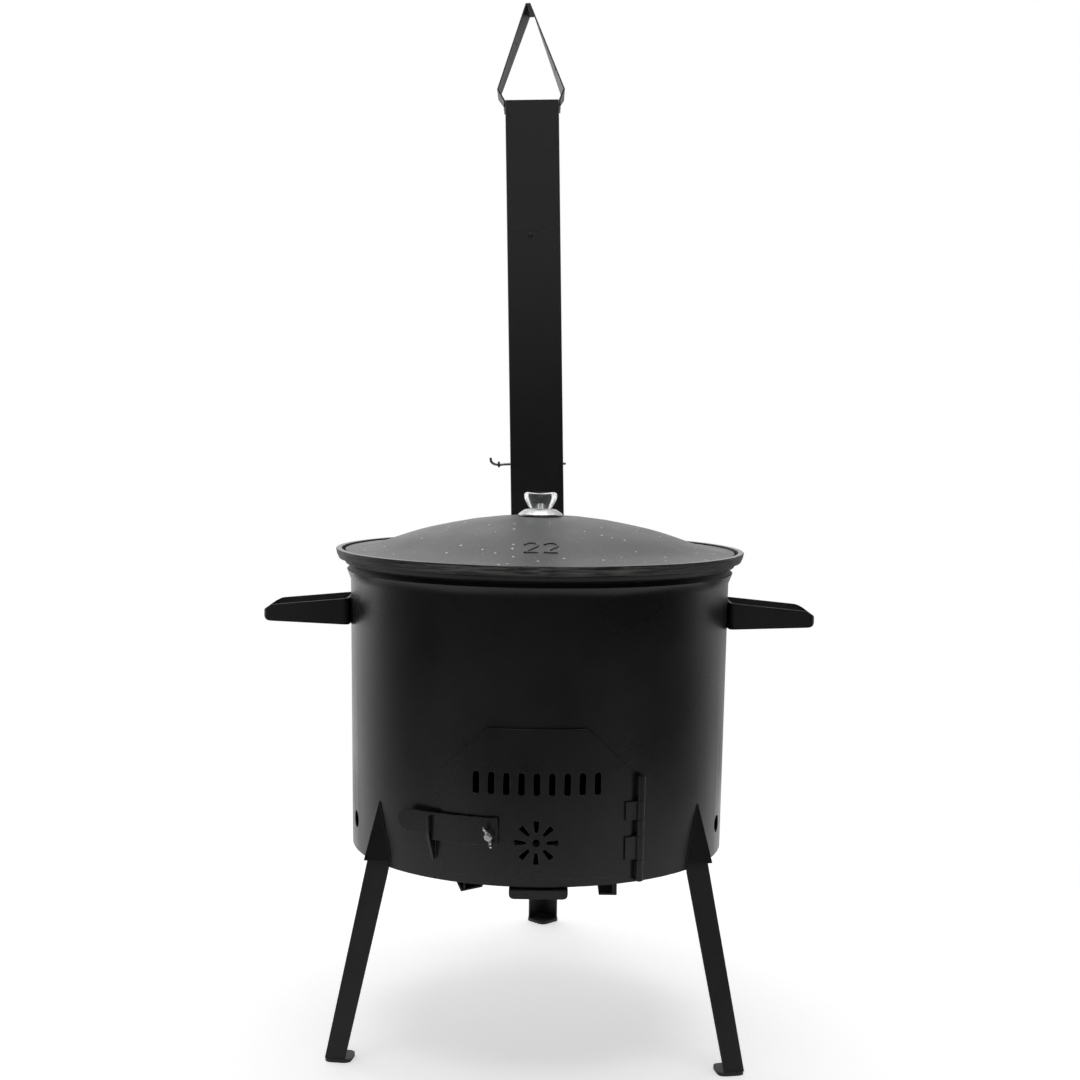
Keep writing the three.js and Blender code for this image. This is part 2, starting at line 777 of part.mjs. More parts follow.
function smokeBox() {
  const start = baseRadius / 2;
  const boxBottom = drumBase + boxRise;
  const hull = block(-boxHalfWidth, boxHalfWidth, start, boxRear, boxBottom, boxTop);
  const inside = block(sheet - boxHalfWidth, boxHalfWidth - sheet, 0, boxRear - sheet, boxBottom + sheet,
    boxTop - sheet);
  const mouth = raised(squareOutline(flueSize / 2 + gap, flueCorner), -2 * stubDip, 2 * stubDip)
    .applyMatrix4(flueFrame);
  return cut(hull, inside, mouth, drumCore);
}

function flueStub() {
  const tube = join(
    squareTube(flueSize, flueInner, -stubDip, stubHeight),
    squareTube(flueSize, spigotInner, stubHeight - flueSheet, stubHeight),
    squareTube(spigotOuter, spigotInner, stubHeight - flueSheet, stubHeight + spigotLength),
  );
  return cut(tube, shaftBar(shaftRadius + gap, -flueSize, flueSize)).transform(flueFrame.elements);
}

function lowerTube() {
  const low = stubHeight + gap;
  const tube = squareTube(flueSize, flueInner, low, low + lowerTubeLength);
  return cut(tube, screwBar(chimneyScrewRadius + gap, -overrun, overrun)).transform(flueFrame.elements);
}

function upperTube() {
  const low = stubHeight + gap + lowerTubeLength + gap;
  const tube = join(
    squareTube(flueSize, flueInner, low, low + upperTubeLength),
    squareTube(flueSize, spigotInner, low, low + flueSheet),
    squareTube(spigotOuter, spigotInner, low - spigotLength, low + flueSheet),
  );
  return cut(tube, screwBar(chimneyScrewRadius + gap, -overrun, overrun)).transform(flueFrame.elements);
}

function chimneyScrew() {
  return join(
    screwBar(chimneyScrewRadius, -overrun, gap + chimneyScrewHead / 2),
    screwBar(chimneyScrewHeadRadius, gap, gap + chimneyScrewHead),
  ).transform(flueFrame.elements);
}

// Each station of the bail: out and up in shares, then its lean back and its turn in degrees
function chimneyBail() {
  const foot = flueSize / 2 + gap + bailSheet / 2;
  let place = new THREE.Vector3();
  let slope = 0;
  const stations = bailStations.map(([out, up, lean, turn], i) => {
    const [leanAngle, turnAngle] = [degToRad(lean), degToRad(turn)];
    const rise = tubeTop + up * bailApex - place.z;
    const back = i > 0 ? place.y + rise * (slope + Math.tan(leanAngle)) / 2 : 0;
    place = new THREE.Vector3(out * foot, back, place.z + rise);
    slope = Math.tan(leanAngle);
    const level = Math.cos(leanAngle);
    const across = new THREE.Vector3(Math.sin(turnAngle), level * Math.cos(turnAngle), -Math.sin(leanAngle));
    return { place, across: across.setLength(bailWidth) };
  });
  return bentStrip(stations, bailSheet).applyMatrix4(flueFrame);
}

piece('smoke_box', smokeBox(), paint);
piece('flue_stub', flueStub(), fluePaint);
piece('chimney_lower', lowerTube(), fluePaint);
piece('chimney_upper', upperTube(), fluePaint);
piece('chimney_screw', chimneyScrew(), zinc);
piece('chimney_bail', chimneyBail(), paint);

// Damper: a plate on a shaft through the stub, open while its handle points up
function damperPlate() {
  const near = shaftRadius + gap;
  const half = flueInner / 2 - damperPlay;
  return block(-half, half, near, near + damperSheet, damperHeight - half, damperHeight + half)
    .applyMatrix4(flueFrame);
}

function damperShaft() {
  const left = -flueSize / 2 - shaftHandle;
  const bar = shaftBar(shaftRadius, left, flueSize / 2 + shaftTail);
  const bend = rod(shaftRadius, damperHeight - shaftRadius, damperHeight + shaftBend)
    .translate(left + shaftRadius, 0, 0);
  return join(bar, bend).transform(flueFrame.elements);
}

function damperCollar() {
  const from = -flueSize / 2 - collarOut;
  const collar = sleeve(shaftRadius + gap, collarRadius, from, from + collarWidth).applyMatrix4(alongX);
  return collar.translate(0, 0, damperHeight).applyMatrix4(flueFrame);
}

piece('damper_plate', damperPlate(), paint);
piece('damper_shaft', damperShaft(), zinc);
piece('damper_collar', damperCollar(), zinc);

// Legs: folded angle strips held in folded sockets, on square foot plates
function angleSection(ridge, flange, thickness) {
  const reach = flange / root2;
  const step = thickness / root2;
  return [
    [ridge, 0],
    [ridge - reach, reach],
    [ridge - reach - step, reach - step],
    [ridge - thickness * root2, 0],
    [ridge - reach - step, step - reach],
    [ridge - reach, -reach],
  ];
}

function legParts(name, wallAt, core, { azimuth, lean, sway, play, footFlange, padSize, shift = 0 }) {
  const place = outwards(azimuth).setPosition(shift, 0, 0);
  const mouthRidge = wallAt(socketMouth) + socketDepth;
  const apexRidge = wallAt(socketApex);
  const flange = socketDepth * root2 + overrun;
  const socket = loft(
    angleSection(mouthRidge, flange, sheet), socketMouth,
    angleSection(apexRidge, flange, sheet), socketApex,
  ).applyMatrix4(place);
  const legTop = socketMouth + legInsertion;
  const padTop = floorHeight + footThickness;
  const outerRidge = mouthRidge + (apexRidge - mouthRidge) * (legInsertion / socketHeight);
  const topRidge = outerRidge - (sheet + play) * root2;
  const footRidge = topRidge + (legTop - padTop) * Math.tan(degToRad(lean));
  const swayTop = -sway * (legInsertion / 2) / (legTop - padTop);
  const shifted = (section, side) => section.map(([x, y]) => [x, y + side]);
  const leg = loft(
    shifted(angleSection(footRidge, footFlange, legSheet), sway), padTop + gap,
    shifted(angleSection(topRidge, legFlangeTop, legSheet), swayTop), legTop,
  ).applyMatrix4(place);
  const corner = footRidge + footMargin * root2;
  const half = padSize / root2;
  const outline = rounded([
    [corner, sway, footCorner],
    [corner - half, sway + half, footCorner],
    [corner - 2 * half, sway, footCorner],
    [corner - half, sway - half, footCorner],
  ]);
  piece(`leg_socket_${name}`, cut(socket, core), paint);
  piece(`leg_${name}`, cut(leg, core), paint);
  piece(`foot_pad_${name}`, raised(outline, floorHeight, padTop).applyMatrix4(place), paint);
}

const boxCore = block(-boxRear, boxRear, 0, boxRear + gap, floorHeight, 0);
legParts('left', wallRadius, drumCore, leftLeg);
legParts('right', wallRadius, drumCore, rightLeg);
legParts('rear', () => boxRear, boxCore, rearLeg);

// Carrying handles: one strip bent into a closed loop, welded to the wall and tapered towards its nose
function carryHandle() {
  const root = wallRadius(handleRootTop) - handleSeat;
  const loop = (inset) => {
    const half = handleHalfSpread + handleSheet / 2 - inset;
    return rounded([
      [root + inset, -half, handleRootCorner - inset],
      [handleTip - inset, -half, handlePlanCorner - inset],
      [handleTip - inset, half, handlePlanCorner - inset],
      [root + inset, half, handleRootCorner - inset],
    ]);
  };
  const plan = loop(0);
  plan.holes.push(loop(handleSheet));
  const profile = rounded([
    [root, handleRootBottom],
    [handleTip, handleTipBottom, handleNose],
    [handleTip, handleTipTop - handleNoseDrop, handleNose / 2],
    [handleTip - handleNoseBack, handleTipTop, handleNose / 2],
    [root, handleRootTop],
  ]);
  const strip = raised(plan, handleRootBottom - overrun, handleRootTop + overrun);
  return cut(common(strip, frontal(profile, -lipRadius, lipRadius)), drumCore);
}

const halfTurn = new THREE.Matrix4().makeRotationZ(Math.PI);
piece('handle_left', carryHandle().transform(halfTurn.elements), paint);
piece('handle_right', carryHandle(), paint);

// Cauldron: a deep round bowl whose rim hangs on the lip and holds the lid in a ledge
function bowlLine(radius, depth) {
  const line = [];
  for (let i = 0; i < bowlSteps; i += 1) {
    const turn = (Math.PI / 2) * (1 - i / bowlSteps);
    line.push([radius * Math.cos(turn), bowlBrim - depth * Math.sin(turn)]);
  }
  return line;
}

function cauldron() {
  const depth = bowlBrim - bowlBottom;
  const outer = bowlLine(bowlRadius, depth);
  const inner = bowlLine(bowlRadius - castWall, depth - castWall).reverse();
  outer[0][0] = 0;
  inner.at(-1)[0] = 0;
  return turned([
    ...outer,
    [bowlRadius, bowlBrim],
    [lipRadius - rimSeatInset - rimSeatWidth, gap],
    [lipRadius - rimSeatInset, gap],
    ...rimCheekShares.map(([out, up]) => [lipRadius + out * rimOverhang, up * rimTop]),
    [ledgeOuter + ledgeDraft, rimTop],
    [ledgeOuter, ledgeHeight],
    [bowlRadius + ledgeStep, ledgeHeight],
    [bowlRadius - castWall, bowlBrim],
    ...inner,
  ], castSteps);
}

piece('cauldron', cauldron(), castIron);

// Lid with its glass knob on a metal base, held by a screw from below
const lidTop = lidEdgeTop + lidRise;
const screwHole = knobScrewRadius + gap;
const knobBase = lidTop + gap;
const knobFoot = knobBase + knobBaseHeight + gap;

function lid() {
  const footInner = lidRadius - lidFootWidth;
  const crown = new THREE.SplineCurve(lidCrownShares.map(([out, up]) => (
    point([out * lidRadius, lidEdgeTop + up * lidRise])
  ))).getPoints(lidSteps).map(({ x, y }) => [Math.max(x, screwHole), y]);
  const under = crown.filter(([x]) => x < footInner - lidWall).map(([x, y]) => [x, y - lidWall]);
  return ring([
    ...under,
    [footInner, ledgeHeight + gap],
    [lidRadius, ledgeHeight + gap],
    ...crown.reverse(),
  ], castSteps);
}

function knobFlange() {
  const skirt = knobBaseHeight / 5;
  return ring([
    [screwHole, knobBase],
    [knobBaseRadius, knobBase],
    [knobBaseRadius, knobBase + skirt],
    [(knobBaseRadius + knobNeckRadius) / 2, knobBase + knobBaseHeight - skirt],
    [knobNeckRadius, knobBase + knobBaseHeight],
    [screwHole, knobBase + knobBaseHeight],
  ], 2 * rodSteps);
}

function knob() {
  const boreTop = knobFoot + knobBoreDepth;
  const flare = knobRadius - knobNeckRadius;
  const side = knobSideShares.map(([out, up]) => [knobNeckRadius + out * flare, knobFoot + up * knobHeight]);
  const top = knobTopShares.map(([out, up]) => [out * knobRadius, knobFoot + up * knobHeight]);
  return turned([
    [0, boreTop],
    [screwHole, boreTop],
    [screwHole, knobFoot],
    [knobNeckRadius, knobFoot],
    ...side,
    ...top,
    [0, top.at(-1)[1]],
  ], 2 * rodSteps);
}

function knobScrew() {
  const headTop = lidTop - lidWall - gap;
  const end = knobFoot + knobBoreDepth - gap;
  return turned([
    [0, headTop - knobScrewHead],
    [knobScrewHeadRadius, headTop - knobScrewHead],
    [knobScrewHeadRadius, headTop],
    [knobScrewRadius, headTop],
    [knobScrewRadius, end],
    [0, end],
  ]);
}

piece('lid', lid(), lidGrey);
piece('knob_base', knobFlange(), chrome);
piece('knob', knob(), glass);
piece('knob_screw', knobScrew(), zinc);

// The finished stove stands on the origin, under the middle of its bounding box
const bounds = new THREE.Box3().setFromObject(stove);
const middle = bounds.getCenter(new THREE.Vector3());
stove.position.set(-middle.x, -middle.y, -bounds.min.z);

export default stove;
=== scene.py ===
# %% [markdown]
# # A wood-fired cauldron stove
#
# The stove is a rolled steel drum on three splayed legs. A cast cauldron hangs in it by its rim, a fire
# door with a drop latch closes the front, and a square chimney with a damper stands on a smoke box at the
# back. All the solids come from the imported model. This script dresses them: it gives each one the finish
# of its real material and adds the welds, rivets and other small things a workshop leaves behind.

import json
import math
import random

import bmesh
import bpy
from mathutils import Euler, Matrix, Vector
from mathutils.bvhtree import BVHTree


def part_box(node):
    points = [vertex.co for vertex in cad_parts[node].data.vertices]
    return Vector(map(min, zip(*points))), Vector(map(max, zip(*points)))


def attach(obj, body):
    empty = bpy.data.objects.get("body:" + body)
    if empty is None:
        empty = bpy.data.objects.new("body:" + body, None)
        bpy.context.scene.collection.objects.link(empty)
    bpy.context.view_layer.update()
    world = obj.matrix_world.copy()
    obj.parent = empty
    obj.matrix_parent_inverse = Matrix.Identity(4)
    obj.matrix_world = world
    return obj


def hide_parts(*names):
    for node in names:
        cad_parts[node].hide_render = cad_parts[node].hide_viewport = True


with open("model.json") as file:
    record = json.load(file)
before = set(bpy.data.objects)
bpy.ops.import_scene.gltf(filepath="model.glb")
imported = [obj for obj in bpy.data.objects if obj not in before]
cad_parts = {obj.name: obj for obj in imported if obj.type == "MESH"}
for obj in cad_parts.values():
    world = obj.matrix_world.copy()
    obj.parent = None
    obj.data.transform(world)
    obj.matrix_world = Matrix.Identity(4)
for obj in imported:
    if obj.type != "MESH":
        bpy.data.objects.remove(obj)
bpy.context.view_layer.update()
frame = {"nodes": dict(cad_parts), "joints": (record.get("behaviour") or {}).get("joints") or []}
parts = frame["nodes"]

# %% [markdown]
# ## Where things are
#
# Every added piece has to sit on a part of the stove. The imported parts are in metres, but a maker thinks in
# millimetres from the drum: x to the right, y back from the drum's axis and z up from its lip. One helper
# turns such a place into Blender's metres, a second one does so for an angle round the drum, and a third
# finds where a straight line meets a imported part, so that the numerals lie on the lid's real surface.

# %% Places on the drum
MM = 0.001
LIP_HEIGHT = 542
pot_low, pot_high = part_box("cauldron")
AXIS_Y = (pot_low.y + pot_high.y) / 2


def at(x, y, z):
    """The point in metres for millimetres from the drum's axis and lip."""
    return Vector((x * MM, AXIS_Y + y * MM, (LIP_HEIGHT + z) * MM))


def around(azimuth, radius, z):
    """A point at a radius, turned from the front towards the right."""
    turn = math.radians(azimuth)
    return at(radius * math.sin(turn), -radius * math.cos(turn), z)


def touch(part, start, aim):
    """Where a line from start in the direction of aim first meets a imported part, and the surface normal."""
    mesh = parts[part].data
    tree = BVHTree.FromPolygons([v.co for v in mesh.vertices], [p.vertices for p in mesh.polygons])
    return tree.ray_cast(start, aim)[:2]


print("drum axis at y", round(AXIS_Y, 4), "m")

# %% [markdown]
# ## Small tools for building materials
#
# A material in Blender is a tree of nodes. Writing each tree by hand needs three lines per node, so one
# helper makes a node, sets it and links its inputs, and short helpers for the common nodes build on it.
# Another makes a node group with named sockets. Groups hold the effects that several finishes share, and
# each finish sets its own values.

# %% Node helpers
def feed(tree, socket, value):
    """Links another node's output to a socket, or sets the socket to a plain value."""
    if isinstance(value, bpy.types.NodeSocket):
        tree.links.new(value, socket)
    else:
        socket.default_value = value


def add(tree, kind, inputs=None, **settings):
    """One node, with its settings and its input values or links."""
    made = tree.nodes.new(kind)
    for name, value in settings.items():
        setattr(made, name, value)
    for name, value in (inputs or {}).items():
        feed(tree, made.inputs[name], value)
    return made


def math_node(tree, operation, *values):
    """The result of one calculation."""
    return add(tree, "ShaderNodeMath", dict(enumerate(values)), operation=operation).outputs[0]


def ramp(tree, value, low, high):
    """Maps the span from low to high smoothly onto 0 to 1."""
    return add(tree, "ShaderNodeMapRange", {"Value": value, "From Min": low, "From Max": high},
               interpolation_type="SMOOTHSTEP").outputs["Result"]


def spread(tree, value, low, high):
    """Maps 0 to 1 evenly onto the span from low to high."""
    return add(tree, "ShaderNodeMapRange", {"Value": value, "To Min": low, "To Max": high}).outputs["Result"]


def blend_colors(tree, factor, first, second):
    """A mix of two colours."""
    return add(tree, "ShaderNodeMix", {0: factor, 6: first, 7: second}, data_type="RGBA").outputs[2]


def object_place(tree):
    """Where on the object a point lies, in metres."""
    return add(tree, "ShaderNodeTexCoord").outputs["Object"]


def facing_up(tree):
    """The height of the surface's normal: 1 where it faces straight up."""
    normal = add(tree, "ShaderNodeNewGeometry").outputs["Normal"]
    return add(tree, "ShaderNodeSeparateXYZ", {0: normal}).outputs["Z"]


def new_group(name, inputs, outputs):
    """An empty node group: its tree, its input sockets and its output node."""
    tree = bpy.data.node_groups.new(name, "ShaderNodeTree")
    for label, value in inputs.items():
        socket = tree.interface.new_socket(label, in_out="INPUT", socket_type="NodeSocketFloat")
        socket.default_value = value
    for label, kind in outputs.items():
        tree.interface.new_socket(label, in_out="OUTPUT", socket_type=kind)
    source = tree.nodes.new("NodeGroupInput").outputs
    sink = tree.nodes.new("NodeGroupOutput")
    return tree, source, sink


def place_group(tree, group, **values):
    """The outputs of a group placed in a material."""
    made = add(tree, "ShaderNodeGroup", node_tree=group)
    for label, value in values.items():
        made.inputs[label.replace("_", " ").capitalize()].default_value = value
    return made.outputs


def new_material(name):
    """A new material, its node tree and its Principled shader."""
    material = bpy.data.materials.new(name)
    material.use_nodes = True
    return material, material.node_tree, material.node_tree.nodes["Principled BSDF"]


def wire_surface(tree, shader, color, roughness, relief, normal=None):
    """Wires a finish: its colour, its roughness and its relief (height, strength, distance)."""
    height, strength, distance = relief
    bump = {"Height": height, "Strength": strength, "Distance": distance}
    if normal is not None:
        bump["Normal"] = normal
    feed(tree, shader.inputs["Base Color"], color)
    feed(tree, shader.inputs["Roughness"], roughness)
    feed(tree, shader.inputs["Normal"], add(tree, "ShaderNodeBump", bump).outputs[0])


# %% [markdown]
# ## Effects that the finishes share
#
# **Paint grain.** Heat-proof paint is sprayed on rough sheet. It dries with a fine, even tooth, and its
# colour and gloss drift a little from place to place. Two noises of very different sizes give that.
#
# **Edge wear.** Paint is thinnest on sharp edges and rubs off there first. The bevel node finds edges by
# comparing the surface with a slightly rounded copy of itself, so it works on plain solids that have no
# rounded edges of their own. The same node gives the softened normal that lets an edge catch light.
#
# **Settled dust.** Dust stays on what faces up. The normal's height says how much a surface does.
#
# **Casting skin.** Sand-cast iron has shallow pits and slow swells, a different grain from paint.

# %% Paint grain
grain_tree, grain_in, grain_out = new_group(
    "paint_grain", {"Tooth size": 0.0011, "Patch size": 0.09},
    {"Height": "NodeSocketFloat", "Patches": "NodeSocketFloat"})
where = object_place(grain_tree)
tooth = add(grain_tree, "ShaderNodeTexNoise", {
    "Vector": where, "Scale": math_node(grain_tree, "DIVIDE", 1.0, grain_in["Tooth size"]), "Detail": 3.0})
patches = add(grain_tree, "ShaderNodeTexNoise", {
    "Vector": where, "Scale": math_node(grain_tree, "DIVIDE", 1.0, grain_in["Patch size"]), "Detail": 4.0,
    "Roughness": 0.6})
grain_tree.links.new(tooth.outputs[0], grain_out.inputs["Height"])
grain_tree.links.new(ramp(grain_tree, patches.outputs[0], 0.3, 0.7), grain_out.inputs["Patches"])
print("paint_grain:", [socket.name for socket in grain_out.inputs][:2])

# %% Edge wear
wear_tree, wear_in, wear_out = new_group(
    "edge_wear", {"Reach": 0.0006, "Amount": 0.5},
    {"Mask": "NodeSocketFloat", "Normal": "NodeSocketVector"})
softened = add(wear_tree, "ShaderNodeBevel", {"Radius": wear_in["Reach"]}, samples=6).outputs[0]
flat = add(wear_tree, "ShaderNodeNewGeometry").outputs["Normal"]
alike = add(wear_tree, "ShaderNodeVectorMath", {0: softened, 1: flat}, operation="DOT_PRODUCT").outputs["Value"]
edge = ramp(wear_tree, math_node(wear_tree, "SUBTRACT", 1.0, alike), 0.015, 0.14)
chips = add(wear_tree, "ShaderNodeTexNoise", {
    "Vector": object_place(wear_tree), "Scale": 140.0, "Detail": 5.0, "Roughness": 0.7})
limit = math_node(wear_tree, "SUBTRACT", 1.0, wear_in["Amount"])
chipped = ramp(wear_tree, chips.outputs[0], limit, math_node(wear_tree, "ADD", limit, 0.12))
wear_tree.links.new(math_node(wear_tree, "MULTIPLY", edge, chipped), wear_out.inputs["Mask"])
wear_tree.links.new(softened, wear_out.inputs["Normal"])

# %% Settled dust
dust_tree, dust_in, dust_out = new_group("settled_dust", {"Amount": 0.3}, {"Mask": "NodeSocketFloat"})
cloud = add(dust_tree, "ShaderNodeTexNoise", {"Vector": object_place(dust_tree), "Scale": 60.0, "Detail": 6.0})
lying = math_node(dust_tree, "MULTIPLY", ramp(dust_tree, facing_up(dust_tree), 0.25, 1.0),
                  ramp(dust_tree, cloud.outputs[0], 0.35, 0.75))
dust_tree.links.new(math_node(dust_tree, "MULTIPLY", lying, dust_in["Amount"]), dust_out.inputs["Mask"])

# %% Casting skin
cast_tree, cast_in, cast_out = new_group(
    "casting_skin", {"Pit size": 0.0022, "Swell size": 0.03},
    {"Height": "NodeSocketFloat", "Pits": "NodeSocketFloat"})
where = object_place(cast_tree)
pit_noise = add(cast_tree, "ShaderNodeTexNoise", {
    "Vector": where, "Scale": math_node(cast_tree, "DIVIDE", 1.0, cast_in["Pit size"]), "Detail": 4.0,
    "Roughness": 0.65}).outputs[0]
swell = add(cast_tree, "ShaderNodeTexNoise", {
    "Vector": where, "Scale": math_node(cast_tree, "DIVIDE", 1.0, cast_in["Swell size"]),
    "Detail": 2.0}).outputs[0]
pits = ramp(cast_tree, pit_noise, 0.42, 0.3)
height = math_node(cast_tree, "SUBTRACT", math_node(cast_tree, "MULTIPLY", swell, 2.0), pits)
cast_tree.links.new(height, cast_out.inputs["Height"])
cast_tree.links.new(pits, cast_out.inputs["Pits"])
print("groups:", [group.name for group in bpy.data.node_groups])

# %% [markdown]
# ## Finishes
#
# Each finish is one Principled BSDF with the shared effects wired into its colour, roughness and normal.
# The black of the drum is a real paint black, about 2 percent, not zero: the brightening towards its sides
# is reflection at a grazing angle and comes from the shader by itself. The flue's paint is painted lighter
# towards its top: a painted highlight that stands in for the light falling on it from above.

# %% Painted sheet
DUST = (0.11, 0.108, 0.104, 1.0)
BARE_STEEL = (0.16, 0.155, 0.15, 1.0)
# Heights in metres over which the flue is painted lighter: a painted highlight for the light from above.
PAINTED_LIGHT_FROM = 0.66
PAINTED_LIGHT_TO = 0.98
GLOSS_DRIFT = 0.035
DARK_PATCH = 0.86
PALE_PATCH = 1.16


def black(value):
    """A neutral dark colour."""
    return (value, value, value * 1.04, 1.0)


def painted(name, tone, worn, dusty, roughness, painted_top_light=1.0):
    """Matte heat-proof paint over steel sheet: black, greyer where dust lies, bare at the worn edges."""
    material, tree, shader = new_material(name)
    grain = place_group(tree, grain_tree, tooth_size=0.0012, patch_size=0.11)
    wear = place_group(tree, wear_tree, reach=0.0006, amount=worn)
    dust = place_group(tree, dust_tree, amount=dusty)
    coat = blend_colors(tree, grain["Patches"], black(tone * DARK_PATCH), black(tone * PALE_PATCH))
    # Painted light: higher up, the coat is blended to a paler black, a painted highlight for the light from
    # above.
    if painted_top_light > 1.0:
        height = add(tree, "ShaderNodeSeparateXYZ", {0: object_place(tree)}).outputs["Z"]
        coat = blend_colors(tree, ramp(tree, height, PAINTED_LIGHT_FROM, PAINTED_LIGHT_TO), coat, black(tone * painted_top_light))
    dusted = blend_colors(tree, dust["Mask"], coat, DUST)
    color = blend_colors(tree, wear["Mask"], dusted, BARE_STEEL)
    rough = spread(tree, grain["Patches"], roughness - GLOSS_DRIFT, roughness + GLOSS_DRIFT)
    wire_surface(tree, shader, color, rough, (grain["Height"], 0.16, 0.0004), wear["Normal"])
    feed(tree, shader.inputs["Metallic"], math_node(tree, "MULTIPLY", wear["Mask"], 0.6))
    shader.inputs["Specular IOR Level"].default_value = 0.4
    return material


drum_black = painted("drum_black", tone=0.019, worn=0.36, dusty=0.06, roughness=0.3)
door_black = painted("door_black", tone=0.017, worn=0.56, dusty=0.06, roughness=0.3)
handle_black = painted("handle_black", tone=0.023, worn=0.42, dusty=0.1, roughness=0.46)
leg_black = painted("leg_black", tone=0.031, worn=0.42, dusty=0.16, roughness=0.5)
bail_black = painted("bail_black", tone=0.034, worn=0.42, dusty=0.1, roughness=0.36)
# The flue's coat is painted paler towards its top: a painted highlight for the light from above.
flue_black = painted("flue_black", tone=0.027, worn=0.36, dusty=0.06, roughness=0.56, painted_top_light=2.5)
print("paints:", len(bpy.data.materials))

# %% [markdown]
# ** Cast iron.** The cauldron comes oiled and black. Its rim has been turned smooth and worn in handling, so its
# upper part shows streaks of bare grey that run around it. The band of streaks is painted strongest at the
# front: there it is partly wear and partly a painted sheen, standing in for the light the rim's upright face
# catches. Noise stretched along the rim gives streaks: the angle round the axis is squeezed and the height is
# not. The flat top of the rim, which the lid slides on, is bare and smoother still.

# %% Cast iron
# Bare grey of the turned rim; on the front band it is also a painted sheen.
BARE_IRON_AND_SHEEN = (0.2, 0.197, 0.19, 1.0)
RIM_BAND = ((LIP_HEIGHT + 10) * MM, (LIP_HEIGHT + 19) * MM)
RIM_TOP = ((LIP_HEIGHT + 22) * MM, (LIP_HEIGHT + 24) * MM)
FRONT_OF_RIM = (-0.17, -0.235)
STREAKS_AROUND = 3.0
STREAKS_UP = 260.0


def cast_iron(name, tone, rub_and_sheen):
    """Oiled black casting, optionally with a worn band at rim height that is partly a painted sheen."""
    material, tree, shader = new_material(name)
    skin = place_group(tree, cast_tree, pit_size=0.0028, swell_size=0.035)
    wear = place_group(tree, wear_tree, reach=0.0012, amount=0.46)
    dark = blend_colors(tree, skin["Pits"], black(tone), black(tone * 0.55))
    color = blend_colors(tree, wear["Mask"], dark, black(0.075))
    rough = spread(tree, skin["Pits"], 0.5, 0.66)
    if rub_and_sheen:
        to_axis = (0.0, -AXIS_Y, 0.0)
        from_axis = add(tree, "ShaderNodeVectorMath", {0: object_place(tree), 1: to_axis}).outputs[0]
        spot = add(tree, "ShaderNodeSeparateXYZ", {0: from_axis}).outputs
        turn = math_node(tree, "ARCTAN2", spot["X"], spot["Y"])
        unrolled = add(tree, "ShaderNodeCombineXYZ", {
            "X": math_node(tree, "MULTIPLY", turn, STREAKS_AROUND),
            "Y": math_node(tree, "MULTIPLY", spot["Z"], STREAKS_UP)})
        streaks = add(tree, "ShaderNodeTexNoise", {
            "Vector": unrolled.outputs[0], "Scale": 1.6, "Detail": 7.0, "Roughness": 0.62}).outputs[0]
        # Painted sheen: the band is painted strongest at the front, standing in for light on the rim's face as
        # well as wear.
        sheen_at_front = spread(tree, ramp(tree, spot["Y"], *FRONT_OF_RIM), 0.25, 1.0)
        band = math_node(tree, "MULTIPLY", ramp(tree, spot["Z"], *RIM_BAND), sheen_at_front)
        band = math_node(tree, "MULTIPLY", band, ramp(tree, streaks, 0.38, 0.6))
        color = blend_colors(tree, math_node(tree, "MULTIPLY", band, 0.9), color, BARE_IRON_AND_SHEEN)
        rough = math_node(tree, "SUBTRACT", rough, math_node(tree, "MULTIPLY", band, 0.1))
        flat_top = math_node(tree, "MULTIPLY", ramp(tree, facing_up(tree), 0.8, 0.98),
                             ramp(tree, spot["Z"], *RIM_TOP))
        color = blend_colors(tree, flat_top, color, BARE_IRON_AND_SHEEN)
        rough = math_node(tree, "SUBTRACT", rough, math_node(tree, "MULTIPLY", flat_top, 0.2))
    wire_surface(tree, shader, color, rough, (skin["Height"], 0.25, 0.0006), wear["Normal"])
    shader.inputs["Specular IOR Level"].default_value = 0.3
    return material


pot_iron = cast_iron("pot_iron", tone=0.0105, rub_and_sheen=True)
grate_iron = cast_iron("grate_iron", tone=0.012, rub_and_sheen=False)

# %% [markdown]
# **The lid** is a satin grey casting with a scatter of tiny pale specks. A Voronoi texture fills space with
# scattered points. Only a point that lies right at the surface shows as a speck, which spreads the specks
# thinly and unevenly, as on the real lid.

# %% Speckled lid
speck_tree, speck_in, speck_out = new_group(
    "pale_specks", {"Spacing": 0.016, "Radius": 0.0009}, {"Mask": "NodeSocketFloat"})
cells = add(speck_tree, "ShaderNodeTexVoronoi", {
    "Vector": object_place(speck_tree), "Scale": math_node(speck_tree, "DIVIDE", 1.0, speck_in["Spacing"])})
distance = math_node(speck_tree, "MULTIPLY", cells.outputs["Distance"], speck_in["Spacing"])
size = add(speck_tree, "ShaderNodeSeparateColor", {0: cells.outputs["Color"]}).outputs[0]
radius = math_node(speck_tree, "MULTIPLY", speck_in["Radius"], math_node(speck_tree, "ADD", size, 0.45))
full = math_node(speck_tree, "MULTIPLY", radius, 0.6)
speck_tree.links.new(ramp(speck_tree, distance, radius, full), speck_out.inputs["Mask"])


LID_DARK = (0.088, 0.089, 0.092, 1.0)
LID_PALE = (0.112, 0.113, 0.116, 1.0)
LID_TOOTH = (0.128, 0.129, 0.132, 1.0)
LID_WORN = (0.2, 0.2, 0.2, 1.0)
FINE_SPECK = (0.4, 0.4, 0.4, 1.0)
BOLD_SPECK = (0.85, 0.85, 0.84, 1.0)


